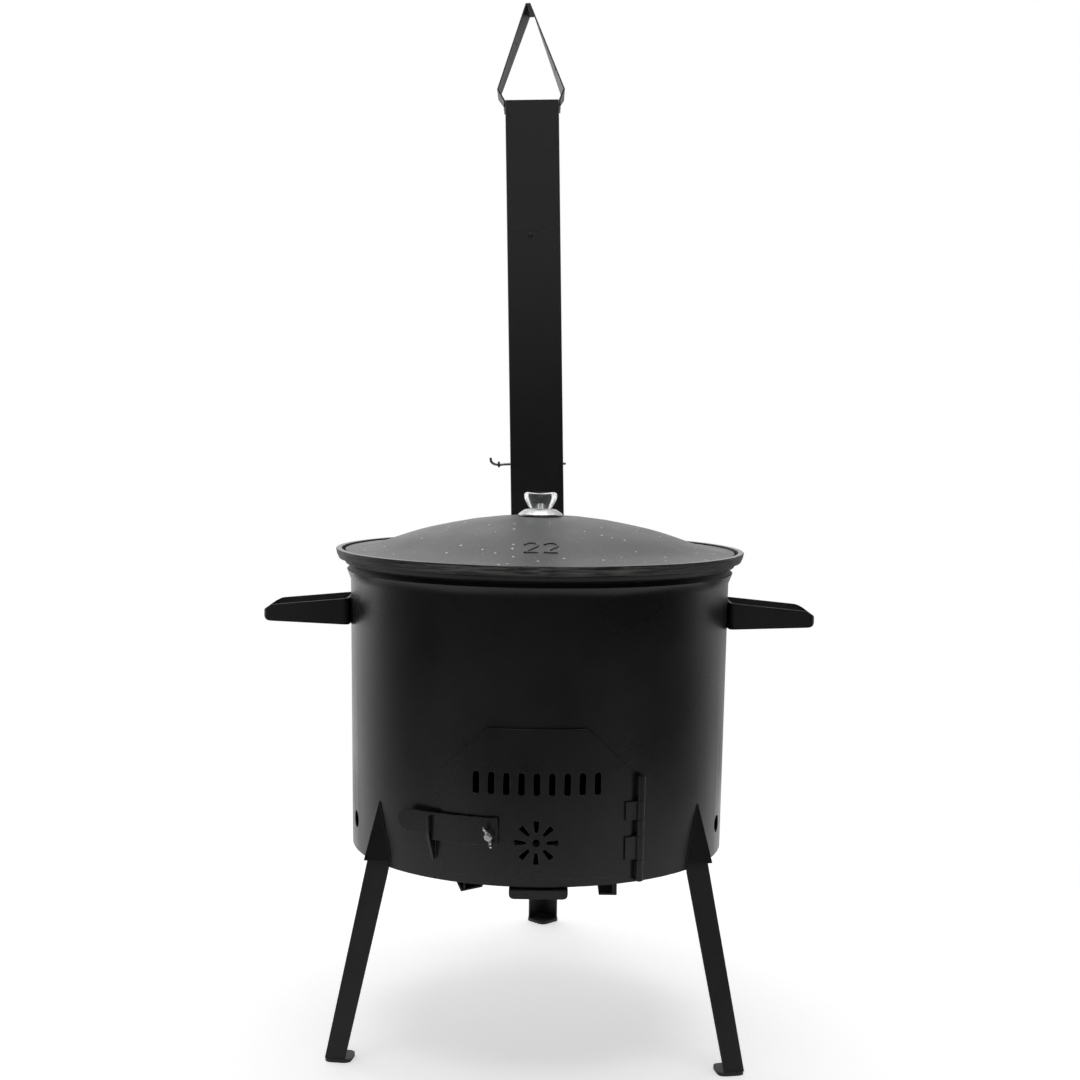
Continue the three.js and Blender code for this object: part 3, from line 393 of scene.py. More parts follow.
def speckled_lid():
    """Satin grey with faint mottling and pale specks of two sizes."""
    material, tree, shader = new_material("lid_grey")
    grain = place_group(tree, grain_tree, tooth_size=0.0021, patch_size=0.05)
    fine = place_group(tree, speck_tree, spacing=0.0052, radius=0.0007)
    bold = place_group(tree, speck_tree, spacing=0.0145, radius=0.0014)
    wear = place_group(tree, wear_tree, reach=0.0008, amount=0.5)
    mottled = blend_colors(tree, grain["Patches"], LID_DARK, LID_PALE)
    toothed = blend_colors(tree, ramp(tree, grain["Height"], 0.35, 0.7), mottled, LID_TOOTH)
    peppered = blend_colors(tree, math_node(tree, "MULTIPLY", fine["Mask"], 0.45), toothed, FINE_SPECK)
    specked = blend_colors(tree, bold["Mask"], peppered, BOLD_SPECK)
    color = blend_colors(tree, wear["Mask"], specked, LID_WORN)
    rough = spread(tree, grain["Patches"], 0.38, 0.47)
    wire_surface(tree, shader, color, rough, (grain["Height"], 0.3, 0.0005), wear["Normal"])
    return material


lid_grey = speckled_lid()

# %% [markdown]
# **Bare metal and glass.** The wing nut and its bolt are zinc plated: bright, slightly cloudy and full of
# small dents. The damper's rod is duller steel, and the hinge pin is nearly black. The knob sits on a pale
# satin dome. Its glass is clear and only needs faint unevenness, because moulded glass is never quite flat.

# %% Metal and glass
DULLED = 0.72


def bare_metal(name, color, roughness, cloud, dents):
    """Metal without paint, with cloudy gloss and small dents."""
    material, tree, shader = new_material(name)
    grain = place_group(tree, grain_tree, tooth_size=0.0016, patch_size=0.006)
    wear = place_group(tree, wear_tree, reach=0.0004, amount=0.4)
    dull = tuple(c * DULLED for c in color) + (1.0,)
    clouded = blend_colors(tree, grain["Patches"], color + (1.0,), dull)
    rough = spread(tree, grain["Patches"], roughness, roughness + cloud)
    wire_surface(tree, shader, clouded, rough, (grain["Height"], dents, 0.0003), wear["Normal"])
    shader.inputs["Metallic"].default_value = 1.0
    return material


def clear_glass():
    """Clear moulded glass with slow ripples."""
    material, tree, shader = new_material("knob_glass")
    grain = place_group(tree, grain_tree, tooth_size=0.008, patch_size=0.02)
    rough = spread(tree, grain["Patches"], 0.0, 0.03)
    wire_surface(tree, shader, (0.97, 0.985, 0.98, 1.0), rough, (grain["Height"], 0.12, 0.0006))
    shader.inputs["Transmission Weight"].default_value = 1.0
    shader.inputs["IOR"].default_value = 1.5
    return material


zinc = bare_metal("zinc_plate", (0.72, 0.73, 0.74), roughness=0.2, cloud=0.22, dents=0.2)
dull_steel = bare_metal("dull_steel", (0.1, 0.1, 0.1), roughness=0.4, cloud=0.2, dents=0.2)
rod_steel = bare_metal("rod_steel", (0.34, 0.34, 0.335), roughness=0.34, cloud=0.2, dents=0.2)
satin_dome = bare_metal("satin_dome", (0.8, 0.8, 0.8), roughness=0.36, cloud=0.08, dents=0.05)
glass = clear_glass()
print("finishes:", len(bpy.data.materials))

# %% [markdown]
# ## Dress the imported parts
#
# A part whose shape is right keeps its mesh and only gets a better material in its slot. The table below
# says which finish each part really has. Parts that aren't in it are painted like the drum.

# %% Give each part its finish
FINISHES = {
    door_black: ("door_panel", "latch_lever", "latch_keeper"),
    leg_black: ("leg_left", "leg_right", "leg_rear", "foot_pad_left", "foot_pad_right", "foot_pad_rear",
                "ash_slide", "ash_rail_left", "ash_rail_right"),
    bail_black: ("chimney_bail",),
    handle_black: ("handle_left", "handle_right"),
    flue_black: ("flue_stub", "chimney_lower", "chimney_upper", "damper_plate"),
    pot_iron: ("cauldron",),
    grate_iron: ("grate",),
    lid_grey: ("lid",),
    satin_dome: ("knob_base",),
    glass: ("knob",),
    zinc: ("wing_nut", "latch_bolt", "latch_washer", "knob_screw"),
    dull_steel: ("hinge_pin", "chimney_screw", "damper_shaft", "damper_collar"),
}
finish_of = {part: material for material, names in FINISHES.items() for part in names}
for name, part in parts.items():
    part.data.materials.clear()
    part.data.materials.append(finish_of.get(name, drum_black))
print(len(finish_of), "parts with a finish of their own,", len(parts) - len(finish_of), "in drum paint")

# %% [markdown]
# **Smooth walls.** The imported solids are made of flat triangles, so a round wall would show its facets.
# Shading can hide them: the triangles are joined along their edges, all faces are shaded smooth, and edges
# sharper than thirty degrees are kept crisp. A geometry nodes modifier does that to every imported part
# without touching its mesh. A weighted normal modifier then lets large faces rule small ones, so that the
# tall wall of the drum stays straight in its reflections right up to the flare.

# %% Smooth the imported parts
CRISP = math.radians(30)
skin = bpy.data.node_groups.new("smooth_skin", "GeometryNodeTree")
skin.is_modifier = True
skin.interface.new_socket("Geometry", in_out="INPUT", socket_type="NodeSocketGeometry")
skin.interface.new_socket("Geometry", in_out="OUTPUT", socket_type="NodeSocketGeometry")
raw = skin.nodes.new("NodeGroupInput").outputs[0]
joined = add(skin, "GeometryNodeMergeByDistance", {"Geometry": raw, "Distance": 0.01 * MM}).outputs[0]
bare = add(skin, "GeometryNodeRemoveAttribute", {"Geometry": joined, "Name": "custom_normal"}).outputs[0]
soft = add(skin, "GeometryNodeSetShadeSmooth", {"Geometry": bare, "Shade Smooth": True}).outputs[0]
bend = add(skin, "GeometryNodeInputMeshEdgeAngle").outputs["Unsigned Angle"]
sharp = add(skin, "FunctionNodeCompare", {0: bend, 1: CRISP}, operation="GREATER_THAN").outputs["Result"]
crisp = add(skin, "GeometryNodeSetShadeSmooth", {"Geometry": soft, "Selection": sharp, "Shade Smooth": False},
            domain="EDGE").outputs[0]
skin.links.new(crisp, skin.nodes.new("NodeGroupOutput").inputs["Geometry"])
for part in parts.values():
    part.modifiers.new("smooth_skin", "NODES").node_group = skin
    part.modifiers.new("large_faces_first", "WEIGHTED_NORMAL").keep_sharp = True
print("smoothed", len(parts), "parts")

# %% [markdown]
# ## Helpers for added pieces
#
# An added piece is a mesh with a finish. It also has to ride on the body that carries it, or it would stay
# behind when that body moves. The helper below does all of that, so no piece can be forgotten.
#
# Rods, beads and numerals are all the same kind of shape: a round section carried along a route. The tube
# helper builds it from a list of points, with a radius that may change from point to point. Every added
# shape is a row of rings in the end, so one helper puts the faces on all of them.

# %% Pieces and tubes
PIECE_CRISP = math.radians(42)


def make_piece(name, points, faces, body, slot, finish):
    """A smooth mesh piece with its finish, riding on a body."""
    mesh = bpy.data.meshes.new(name)
    mesh.from_pydata(points, [], faces)
    shell = bmesh.new()
    shell.from_mesh(mesh)
    bmesh.ops.recalc_face_normals(shell, faces=shell.faces)
    shell.to_mesh(mesh)
    shell.free()
    mesh.shade_smooth()
    mesh.set_sharp_from_angle(angle=PIECE_CRISP)
    mesh.materials.append(finish)
    piece = bpy.data.objects.new(name, mesh)
    bpy.context.scene.collection.objects.link(piece)
    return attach(piece, body)


def skin_rings(rings):
    """The points and faces of a closed skin over a row of rings that have equally many points."""
    points = [point for ring in rings for point in ring]
    count = len(rings[0])
    faces = []
    for first in range(0, len(points) - count, count):
        for step in range(count):
            a = first + step
            b = first + (step + 1) % count
            faces.append((a, b, b + count, a + count))
    faces.append(tuple(range(count)))
    faces.append(tuple(range(len(points) - count, len(points))))
    return points, faces


def tube(route, radii, sides):
    """A closed tube along a route."""
    rings = []
    for index, place in enumerate(route):
        before = route[max(index - 1, 0)]
        after = route[min(index + 1, len(route) - 1)]
        turn = (after - before).to_track_quat("Z", "Y")
        angles = [math.tau * side / sides for side in range(sides)]
        rings.append([place + turn @ (Vector((math.cos(a), math.sin(a), 0)) * radii[index]) for a in angles])
    return skin_rings(rings)


def gather(shapes):
    """Several shapes as one list of points and faces."""
    points = []
    faces = []
    for more_points, more_faces in shapes:
        start = len(points)
        points += more_points
        faces += [tuple(corner + start for corner in face) for face in more_faces]
    return points, faces


def even_steps(corners, step):
    """A polyline cut into equal short steps."""
    places = [corners[0]]
    for start, end in zip(corners, corners[1:]):
        count = max(1, round((end - start).length / step))
        places += [start.lerp(end, (index + 1) / count) for index in range(count)]
    return places


def rounded(corners, bends=5, share=0.35):
    """A polyline whose inner corners are rounded."""
    route = [corners[0]]
    for before, corner, after in zip(corners, corners[1:], corners[2:]):
        reach = share * min((corner - before).length, (after - corner).length)
        start = corner + (before - corner).normalized() * reach
        end = corner + (after - corner).normalized() * reach
        for index in range(bends + 1):
            t = index / bends
            route.append(start.lerp(corner, t).lerp(corner.lerp(end, t), t))
    route.append(corners[-1])
    return route


# %% [markdown]
# ## Welds
#
# The stove is welded together from sheet, and the beads are what tells it from a plastic toy. A bead from a
# hand-held torch is a row of overlapping puddles, so the tube's radius swells and sinks every few
# millimetres, a little unevenly. Beads are painted with the drum. Half of each bead is buried in the corner
# it fills.
#
# Where a bead runs is worked out from the pieces it joins. A leg socket is a folded plate whose two flanks
# stand at 45 degrees on the wall, so its edges are found from the place of its ridge.

# %% Weld beads
PUDDLE = 2.7 * MM
BEAD_STEP = 0.75 * MM
BEAD_TAPER = 2.5 * MM
chance = random.Random(7)


def bead(corners, radius):
    """One weld bead along a polyline."""
    route = even_steps(corners, BEAD_STEP)
    swing = chance.random()
    radii = []
    for index, place in enumerate(route):
        along = index * BEAD_STEP / PUDDLE + swing
        end = min(index, len(route) - 1 - index) * BEAD_STEP
        swell = 0.8 + 0.2 * abs(math.sin(math.pi * along)) + chance.uniform(-0.03, 0.03)
        radii.append(radius * swell * min(1.0, 0.45 + end / BEAD_TAPER))
    return tube(route, radii, sides=9)


def weld(name, lines, radius):
    """One painted piece on the drum that holds several beads."""
    points, faces = gather([bead(line, radius * MM) for line in lines])
    make_piece("weld_" + name, points, faces, "stove", "drum_paint", drum_black)


NECK_RADIUS = 225.3
BASE_RADIUS = 221.2
NECK = -12
BASE = -327
SOCKET_MOUTH = -320
SOCKET_APEX = -253
SOCKET_DEPTH = 21.5
SOCKET_BEAD = 1.3
LEG_AZIMUTHS = {"left": -53.2, "right": 55.5}


def wall_radius(z):
    """The drum's outer radius at a height."""
    return NECK_RADIUS + (NECK_RADIUS - BASE_RADIUS) * (z - NECK) / (NECK - BASE)


def socket_edge(azimuth, side, z):
    """Where a flank of a leg socket meets the drum."""
    share = (SOCKET_APEX - z) / (SOCKET_APEX - SOCKET_MOUTH)
    wall = wall_radius(z)
    ridge = wall + SOCKET_DEPTH * share
    width = (ridge - math.sqrt(2 * wall * wall - ridge * ridge)) / 2
    turn = math.radians(azimuth)
    out = ridge - width
    return at(out * math.sin(turn) + side * width * math.cos(turn),
              -out * math.cos(turn) + side * width * math.sin(turn), z)


heights = [SOCKET_MOUTH + (SOCKET_APEX - SOCKET_MOUTH) * share for share in (0.04, 0.35, 0.65, 0.97)]
for socket, azimuth in LEG_AZIMUTHS.items():
    flanks = [[socket_edge(azimuth, side, z) for z in heights] for side in (-1, 1)]
    weld("socket_" + socket, flanks, SOCKET_BEAD)

BOX_REAR = 322
REAR_LEG_X = 11
flanks = []
for side in (-1, 1):
    mouth = at(REAR_LEG_X + side * SOCKET_DEPTH, BOX_REAR, SOCKET_MOUTH)
    flanks.append([mouth.lerp(at(REAR_LEG_X, BOX_REAR, SOCKET_APEX), share) for share in (0.04, 0.96)])
weld("socket_rear", flanks, SOCKET_BEAD)

# %% Beads on handles, smoke box, keeper and hinge
HANDLE_TOP = -34.1
HANDLE_FOOT = -66.4
HANDLE_ROOT = 19.5


def on_side(side, y, z):
    """A point on the drum's left or right wall."""
    return at(side * math.sqrt(wall_radius(z) ** 2 - y * y), y, z)


for name, side in (("left", -1), ("right", 1)):
    lines = [[on_side(side, y, z) for y in (-16, -8, 0, 8, 16)] for z in (HANDLE_FOOT, HANDLE_TOP)]
    ends = (HANDLE_FOOT + 3, HANDLE_TOP - 3)
    lines += [[on_side(side, y, z) for z in ends] for y in (-HANDLE_ROOT, HANDLE_ROOT)]
    weld("handle_" + name, lines, 1.2)

BOX_HALF = 39
BOX_TOP = -30
STITCH = 26
STITCH_FEET = (-310, -262, -214, -166, -118, -70)
box_lines = []
for side in (-1, 1):
    for z in STITCH_FEET:
        ends = (z, z + STITCH)
        box_lines.append([at(side * BOX_HALF, math.sqrt(wall_radius(h) ** 2 - BOX_HALF ** 2), h) for h in ends])
box_lines.append([around(azimuth, wall_radius(BOX_TOP), BOX_TOP) for azimuth in (-170, -175, 180, 175, 170)])
weld("smoke_box", box_lines, 1.5)

THIN_BEAD = 1.1
KEEPER_AZIMUTH = -30.3
KEEPER_SPAN = (-303, -283)
KEEPER_MIDDLE = -290
KEEPER_HALF = 1.5
keeper_lines = []
for side in (-1, 1):
    azimuth = KEEPER_AZIMUTH + side * math.degrees(KEEPER_HALF / wall_radius(KEEPER_MIDDLE))
    keeper_lines.append([around(azimuth, wall_radius(z) + 0.3, z) for z in KEEPER_SPAN])
weld("keeper", keeper_lines, THIN_BEAD)

HINGE_AZIMUTH = 30.12
HINGE_TOP = -207.6
KNUCKLES = (28, 21, 18, 26, 24)
KNUCKLE_ROOT = 2.6
KNUCKLE_ENDS = (0.84, 0.16)
fixed = []
z = HINGE_TOP
for index, length in enumerate(KNUCKLES):
    ends = [z - length * share for share in KNUCKLE_ENDS]
    if index % 2 == 0:
        for side in (-1, 1):
            azimuth = HINGE_AZIMUTH + side * math.degrees(KNUCKLE_ROOT / wall_radius(z))
            fixed.append([around(azimuth, wall_radius(h) + 0.5, h) for h in ends])
    z -= length
weld("hinge", fixed, THIN_BEAD)

# %% [markdown]
# ## Lid numerals
#
# The cast lid carries its size, 22, as raised numerals. Each digit is one stroke: a round top, a slanting
# back and a straight foot. The stroke is drawn flat, then every point is dropped onto the lid's own
# surface, so the numerals follow its crown.

# %% The size on the lid
def digit_two(width, height):
    """The stroke of a 2, from its open top end to the end of its foot."""
    stroke = []
    for step in range(11):
        angle = math.radians(165 - 205 * step / 10)
        stroke.append((width / 2 * (1 + 0.96 * math.cos(angle)), height * (0.73 + 0.27 * math.sin(angle))))
    stroke += [(width * 0.62, height * 0.4), (width * 0.24, height * 0.15), (width * 0.04, 0.0)]
    stroke += [(width * 0.5, 0.0), (width * 0.98, 0.0)]
    return stroke


DIGIT_WIDTH = 15.5
DIGIT_HEIGHT = 25
DIGIT_PITCH = 22
DIGIT_LEFT = -17.5
DIGIT_FOOT = -178
STROKE = 1.5
STROKE_LIFT = 0.1
ABOVE_LID = 200
digit_shapes = []
for left in (DIGIT_LEFT, DIGIT_LEFT + DIGIT_PITCH):
    route = []
    for u, v in digit_two(DIGIT_WIDTH, DIGIT_HEIGHT):
        place, normal = touch("lid", at(left + u, DIGIT_FOOT + v, ABOVE_LID), Vector((0, 0, -1)))
        route.append(place + normal * STROKE_LIFT * MM)
    route = even_steps(route, 1.2 * MM)
    digit_shapes.append(tube(route, [STROKE * MM] * len(route), sides=10))
numerals = make_piece("lid_numerals", *gather(digit_shapes), "cover", "lid_metal", lid_grey)
print("numerals", len(numerals.data.vertices), "points")

# %% [markdown]
# ## Glass knob
#
# The knob is a moulded glass mushroom: a narrow neck, a wide rounded shoulder and a top that dips in the
# middle. It is hollow and open below, which is why its rim looks bright and its middle lets the chimney
# show through. It is a turned form, so its profile is swept round an axis. The profile's few points are
# joined by a Catmull-Rom curve, which passes through them smoothly.

# %% Turned forms
def smooth_curve(points, steps=6):
    """A Catmull-Rom curve through profile points."""
    ends = [points[0]] + list(points) + [points[-1]]
    curve = []
    for p0, p1, p2, p3 in zip(ends, ends[1:], ends[2:], ends[3:]):
        for index in range(steps):
            t = index / steps
            curve.append(tuple(
                0.5 * (2 * b + (c - a) * t + (2 * a - 5 * b + 4 * c - d) * t ** 2
                       + (3 * (b - c) - a + d) * t ** 3)
                for a, b, c, d in zip(p0, p1, p2, p3)))
    curve.append(points[-1])
    return curve


def turned(profile, place, steps):
    """A profile of (radius, height) pairs swept round a matrix's z axis."""
    angles = [math.tau * step / steps for step in range(steps)]
    return skin_rings([
        [place @ (Vector((radius * math.cos(a), radius * math.sin(a), height)) * MM) for a in angles]
        for radius, height in profile])


knob_low, knob_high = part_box("knob")
KNOB = (knob_high.x - knob_low.x) / 2 / MM
KNOB_HEIGHT = (knob_high.z - knob_low.z) / MM
hollow = smooth_curve([(0.4, 16.8), (4.5, 17.1), (9.5, 17.8), (14.1, 18.2), (17.1, 17.4), (18.4, 14.8),
                       (17.6, 11.1), (15.9, 7.3), (13.8, 3.6), (12.2, 1), (11.6, 0)], steps=4)
outside = smooth_curve([(12.4, 0), (13.2, 0.8), (15.1, 3.4), (17.2, 7.1), (18.9, 10.9), (KNOB, 14.8),
                        (19.3, 17.2), (17.4, 18.9), (14.2, KNOB_HEIGHT), (9.5, 19), (4.5, 18.3), (0.4, 18)])
foot = Matrix.Translation(((knob_low.x + knob_high.x) / 2, AXIS_Y, knob_low.z))
knob = make_piece("glass_knob", *turned(hollow + outside, foot, steps=64), "cover", "clear_glass", glass)
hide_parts("knob")
print("knob", round(KNOB * 2, 1), "x", round(KNOB_HEIGHT, 1), "mm")

# %% [markdown]
# ## Wing nut
#
# A pressed wing nut is a short cone with two ears that lean outwards. Each ear is a rounded plate: a flat
# outline, thickened, with its rims drawn in a little so that they look pressed. The nut turns about the
# latch bolt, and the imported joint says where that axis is.

# %% A soft wing nut
joints = {joint["name"]: joint for joint in frame["joints"]}
spin = joints["wing_nut_spin"]
outward = Vector(spin["axis"])
nut_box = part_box("wing_nut")
nut_middle = (nut_box[0] + nut_box[1]) / 2
pivot = Vector(spin["pos_m"])
NUT_SEAT = 6 * MM
seat = pivot + outward * ((nut_middle - pivot).dot(outward) - NUT_SEAT)
NUT_TURN = math.radians(22)
aside = Vector((0, 0, 1)).cross(outward).normalized()
upward = outward.cross(aside)
along = upward * math.cos(NUT_TURN) - aside * math.sin(NUT_TURN)
turn = Matrix((along, outward.cross(along), outward)).transposed().to_4x4()
nut_place = Matrix.Translation(seat) @ turn


EAR_SHEET = 3.0
EAR_STEPS = 21


def ear(side):
    """One ear of the nut: a rounded plate that leans out and up."""
    outline = []
    for step in range(EAR_STEPS):
        angle = math.tau * step / EAR_STEPS
        u = 3.6 * math.cos(angle)
        v = 2.9 * math.sin(angle)
        outline.append((9.0 + u * 0.8 - v * 0.5, 7.4 + u * 0.75 + v * 0.8))
    outline += [(4.6, 2.0), (3.6, 6.8)]
    middle_x, middle_z = (sum(values) / len(outline) for values in zip(*outline))
    outline.sort(key=lambda point: math.atan2(point[1] - middle_z, point[0] - middle_x))
    rings = []
    for depth, inset in ((-1, 0.8), (-0.6, 1), (0.6, 1), (1, 0.8)):
        rings.append([nut_place @ (Vector((
            side * (middle_x + (x - middle_x) * inset), depth * EAR_SHEET / 2,
            middle_z + (z - middle_z) * inset)) * MM) for x, z in outline])
    return skin_rings(rings)


hub_profile = [(3.05, 0), (5.0, 0), (5.4, 0.5), (4.9, 4.6), (4.5, 7.2), (4.1, 7.8), (3.05, 7.8)]
hub = turned(hub_profile, nut_place, steps=28)
soft_nut = make_piece("wing_nut_soft", *gather([hub, ear(-1), ear(1)]), "nut", "zinc", zinc)
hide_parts("wing_nut")
print("wing nut reaches", [round(v * 1000, 1) for v in soft_nut.dimensions])

# %% [markdown]
# ## Damper rod
#
# The damper turns on a thin rod that runs through the flue. Its left end was bent up by hand to make a grip,
# with a nut that keeps the rod from sliding. Everything on the flue leans with it, so these pieces are
# placed in the flue's own frame.

# %% The flue's frame and the rod
FLUE_LEAN = math.radians(1.5)
FLUE_FOOT = at(-2, 283.5, -30)
flue_frame = Matrix.Translation(FLUE_FOOT) @ Matrix.Rotation(-FLUE_LEAN, 4, "Y")


def on_flue(x, y, z):
    """A point in millimetres in the flue's frame."""
    return flue_frame @ (Vector((x, y, z)) * MM)


def stand_on(place, out):
    """The frame of a thing that stands at a place with its z axis pointing out."""
    return Matrix.Translation(place) @ out.to_track_quat("Z", "Y").to_matrix().to_4x4()


ROD_HEIGHT = 147
ROD = 1.75
grip = [on_flue(x, 0, ROD_HEIGHT + rise) for x, rise in (
    (-63, 9.4), (-62.3, 3.6), (-58.5, 0.6), (-52, -0.9), (-46, 0), (-37, 0.2), (0, 0), (39.5, 0))]
rod_route = even_steps(rounded(grip), 1.5 * MM)
rod_radii = [ROD * MM] * len(rod_route)
rod_radii[0] = rod_radii[-1] = ROD * 0.8 * MM
rod_piece = make_piece("damper_rod", *tube(rod_route, rod_radii, sides=14), "damper", "zinc", rod_steel)
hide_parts("damper_shaft")

ROD_NUT_X = -53.1
nut_frame = stand_on(on_flue(ROD_NUT_X, 0, ROD_HEIGHT), on_flue(1, 0, 0) - on_flue(0, 0, 0))
hex_nut = turned([(ROD, 0), (4.0, 0), (4.6, 0.5), (4.6, 2.3), (4.0, 2.8), (ROD, 2.8)], nut_frame, steps=6)
rod_nut = make_piece("damper_nut", *hex_nut, "damper", "zinc", dull_steel)
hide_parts("damper_collar")
print("rod", round((rod_route[-1] - rod_route[0]).length * 1000), "mm long")

# %% [markdown]
# ## Chimney seams, rivets and the joint screw
#
# The chimney tubes are folded from sheet and closed with one seam down the back. Two flat rivets on each
# side hold the hanging strip. The lower and upper tube are held together by one sheet metal screw.

# %% Seams and rivets
FLUE_HALF = 35.5
STUB_TOP = 182
LOWER_TOP = 456.3
UPPER_TOP = 628.6
BAIL_FACE = 37.8
BAIL_SHIFT = 2
RIVET_Y = 7
RIVET_DROP = 3.6
RIVET_RADIUS = 2.0
RIVET_RISE = 0.5


def seam(name, low, high, body):
    """One flat rippled seam down the back of a tube."""
    line = [on_flue(0, FLUE_HALF, low), on_flue(0, FLUE_HALF, high)]
    make_piece("seam_" + name, *bead(line, THIN_BEAD * MM), body, "flue_paint", flue_black)


seam("stub", 8, STUB_TOP - 2, "stove")
seam("lower", STUB_TOP + 2, LOWER_TOP - 2, "chimney")
seam("upper", LOWER_TOP + 2, UPPER_TOP - 2, "chimney")


def dome(place, out, radius, rise):
    """A rivet head that stands on a surface."""
    arc = [(radius * math.cos(a), rise * math.sin(a)) for a in (math.radians(9 * i) for i in range(10))]
    return turned([(radius, -0.4)] + arc + [(0.05, rise)], stand_on(place, out), steps=20)


rivets = []
for side in (-1, 1):
    outward = on_flue(side, 0, 0) - on_flue(0, 0, 0)
    for end in (-1, 1):
        place = on_flue(side * BAIL_FACE, end * RIVET_Y - BAIL_SHIFT, UPPER_TOP - RIVET_DROP - end)
        rivets.append(dome(place, outward, RIVET_RADIUS, RIVET_RISE))
make_piece("bail_rivets", *gather(rivets), "chimney", "flue_paint", leg_black)
print("rivets:", len(rivets))

# %% Joint screw
SCREW_RADIUS = 3.0
SCREW_RISE = 1.3
SLOT_HALF = 0.5
SLOT_DEPTH = 0.6
screw_low, screw_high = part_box("chimney_screw")
screw_middle = (screw_low + screw_high) / 2
head_place = Vector((screw_middle.x, screw_low.y + SCREW_RISE * MM, screw_middle.z))
screw_points, screw_faces = dome(head_place, Vector((0, -1, 0)), SCREW_RADIUS, SCREW_RISE)
for index, place in enumerate(screw_points):
    across = abs((place - head_place).x)
    if across < SLOT_HALF * MM and place.y < head_place.y - 0.5 * MM:
        screw_points[index] = place + Vector((0, SLOT_DEPTH * MM, 0))
screw = make_piece("joint_screw", screw_points, screw_faces, "chimney", "zinc", dull_steel)
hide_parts("chimney_screw")

# %% [markdown]
# ## Studio
#
# The stove stands on a pale floor in front of an endless white background. A dark object is drawn by what
# it reflects, so the room matters more than the lamps: it is bright behind and beside the stove and dim
# in front of it, and a little dimmer on the right than on the left. That leaves the middle of the drum
# nearly black and lights up its sides. The world does this by direction, and shows plain white to the
# camera. The floor is small, so that the drum's front doesn't mirror a wide bright floor.

# %% Floor
FLOOR_HALF = 1.15
corners = [(x * FLOOR_HALF, y * FLOOR_HALF, 0) for x, y in ((-1, -1), (1, -1), (1, 1), (-1, 1))]
floor_mesh = bpy.data.meshes.new("floor")
floor_mesh.from_pydata(corners, [], [(0, 1, 2, 3)])
floor = bpy.data.objects.new("floor", floor_mesh)
bpy.context.scene.collection.objects.link(floor)

floor_white, tree, shader = new_material("floor_white")
shader.inputs["Roughness"].default_value = 0.9
shader.inputs["Base Color"].default_value = (0.86, 0.86, 0.86, 1.0)
shader.inputs["Emission Color"].default_value = (1.0, 1.0, 1.0, 1.0)
rays = add(tree, "ShaderNodeLightPath").outputs
seen = rays["Is Camera Ray"]
mirrored = math_node(tree, "MAXIMUM", rays["Is Glossy Ray"], rays["Is Transmission Ray"])
lift = math_node(tree, "ADD", math_node(tree, "MULTIPLY", seen, 0.5),
                 math_node(tree, "MULTIPLY", mirrored, 0.3))
tree.links.new(lift, shader.inputs["Emission Strength"])
reach = add(tree, "ShaderNodeVectorMath", {0: object_place(tree)}, operation="LENGTH").outputs["Value"]
far = math_node(tree, "MULTIPLY", ramp(tree, reach, 0.55, 1.1), seen)
glow = add(tree, "ShaderNodeEmission", {"Strength": 1.0})
fade = add(tree, "ShaderNodeMixShader", {0: far, 1: shader.outputs[0], 2: glow.outputs[0]})
tree.links.new(fade.outputs[0], tree.nodes["Material Output"].inputs["Surface"])
floor_mesh.materials.append(floor_white)

# %% World
world = bpy.data.worlds.new("studio")
bpy.context.scene.world = world
world.use_nodes = True
tree = world.node_tree
background = tree.nodes["Background"]
toward = add(tree, "ShaderNodeTexCoord").outputs["Generated"]
direction = add(tree, "ShaderNodeSeparateXYZ", {0: toward}).outputs
room = add(tree, "ShaderNodeMapRange", {
    "Value": direction["Y"], "From Min": -0.1, "From Max": 0.95, "To Min": 0.06, "To Max": 1.0},
    interpolation_type="SMOOTHSTEP").outputs["Result"]
glass_room = add(tree, "ShaderNodeMapRange", {
    "Value": direction["Y"], "From Min": -0.6, "From Max": 0.5, "To Min": 0.3, "To Max": 1.0}).outputs["Result"]
shaded = spread(tree, ramp(tree, direction["X"], 0.0, 0.35), 1.0, 0.55)
room = math_node(tree, "MULTIPLY", room, shaded)
rays = add(tree, "ShaderNodeLightPath").outputs
through = add(tree, "ShaderNodeMix", {0: rays["Is Transmission Ray"], 2: room, 3: glass_room}).outputs[0]
strength = add(tree, "ShaderNodeMix", {0: rays["Is Camera Ray"], 2: through, 3: 1.0}).outputs[0]
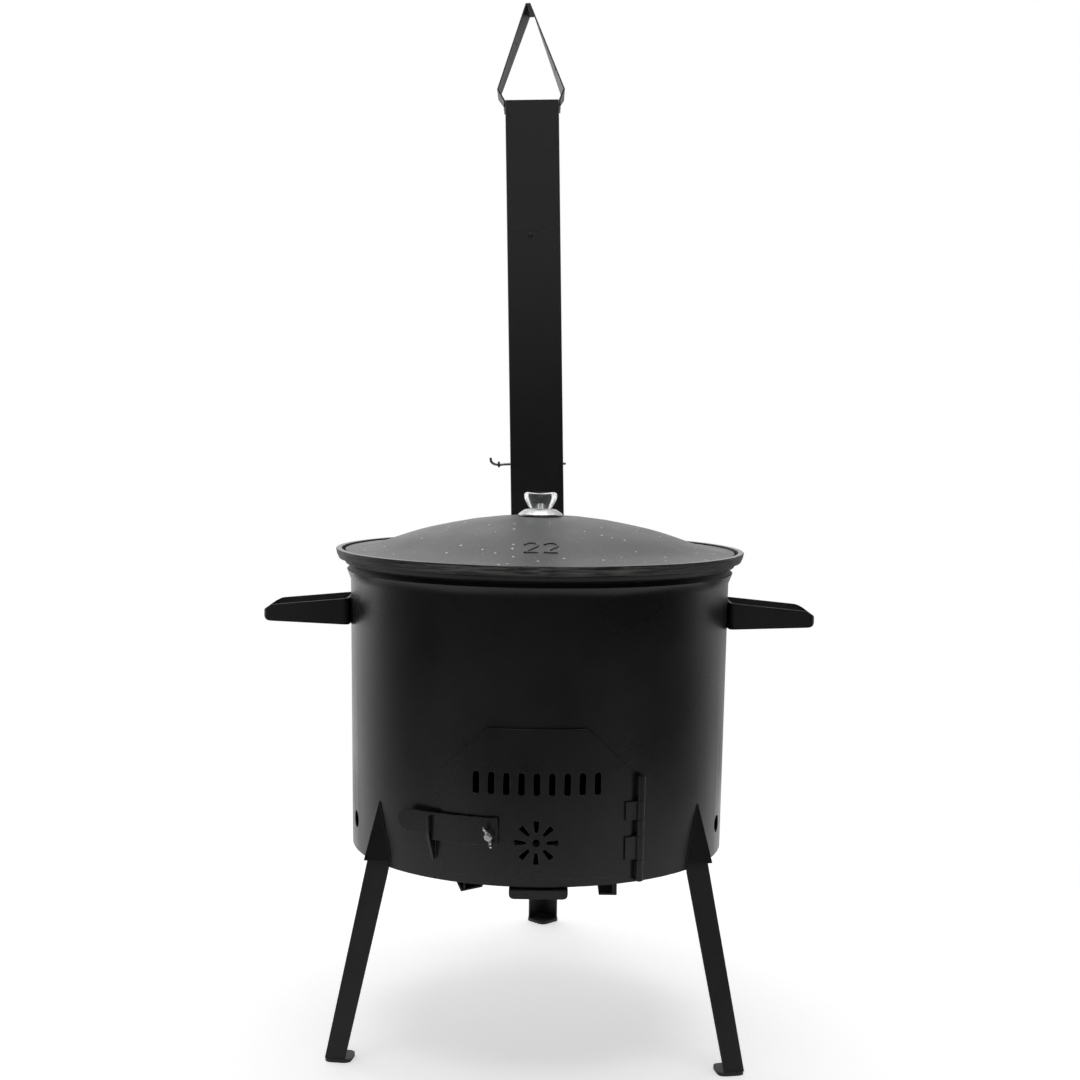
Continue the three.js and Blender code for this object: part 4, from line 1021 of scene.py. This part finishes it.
tree.links.new(strength, background.inputs["Strength"])
background.inputs["Color"].default_value = (1.0, 1.0, 1.0, 1.0)

# %% Lamps
MIDDLE = Vector((0.0, 0.0, 0.55))


def soft_box(name, place, width, height, watts):
    """A large rectangular lamp that faces the middle of the stove."""
    lamp = bpy.data.lights.new(name, "AREA")
    lamp.shape = "RECTANGLE"
    lamp.size = width
    lamp.size_y = height
    lamp.energy = watts
    box = bpy.data.objects.new(name, lamp)
    box.location = place
    box.rotation_euler = (MIDDLE - Vector(place)).to_track_quat("-Z", "Y").to_euler()
    bpy.context.scene.collection.objects.link(box)


soft_box("top_light", (0.0, 0.1, 3.2), width=2.6, height=2.6, watts=50)
soft_box("left_light", (-2.9, 1.5, 1.3), width=1.6, height=2.4, watts=13)
soft_box("right_light", (2.9, 1.5, 1.3), width=1.6, height=2.4, watts=8)
soft_box("front_fill", (0.0, -4.5, 2.4), width=3.0, height=1.2, watts=9)
bpy.context.scene.view_settings.view_transform = "Standard"

# %% [markdown]
# ## Camera
#
# The photograph was taken from about two metres, a little above the cauldron's rim, with the camera tipped
# down by some four degrees and rolled by less than one. Those values were solved from the drum's round
# edges, and they give the lens.

# %% The photograph's camera
CAMERA_PLACE = at(-0.2, -2026, 186)
CAMERA_PITCH = math.radians(4.28)
CAMERA_ROLL = math.radians(0.76)
PHOTO_WIDTH = 1080
FOCAL_PIXELS = 1695.0
SENSOR_WIDTH = 36.0

lens = bpy.data.cameras.new("photo_camera")
lens.sensor_width = SENSOR_WIDTH
lens.lens = FOCAL_PIXELS / PHOTO_WIDTH * SENSOR_WIDTH
camera = bpy.data.objects.new("photo_camera", lens)
camera.matrix_world = (
    Matrix.Translation(CAMERA_PLACE)
    @ Euler((math.pi / 2 - CAMERA_PITCH, 0.0, 0.0)).to_matrix().to_4x4()
    @ Matrix.Rotation(CAMERA_ROLL, 4, "Z"))
bpy.context.scene.collection.objects.link(camera)
bpy.context.scene.camera = camera
print("lens", round(lens.lens, 2), "mm")
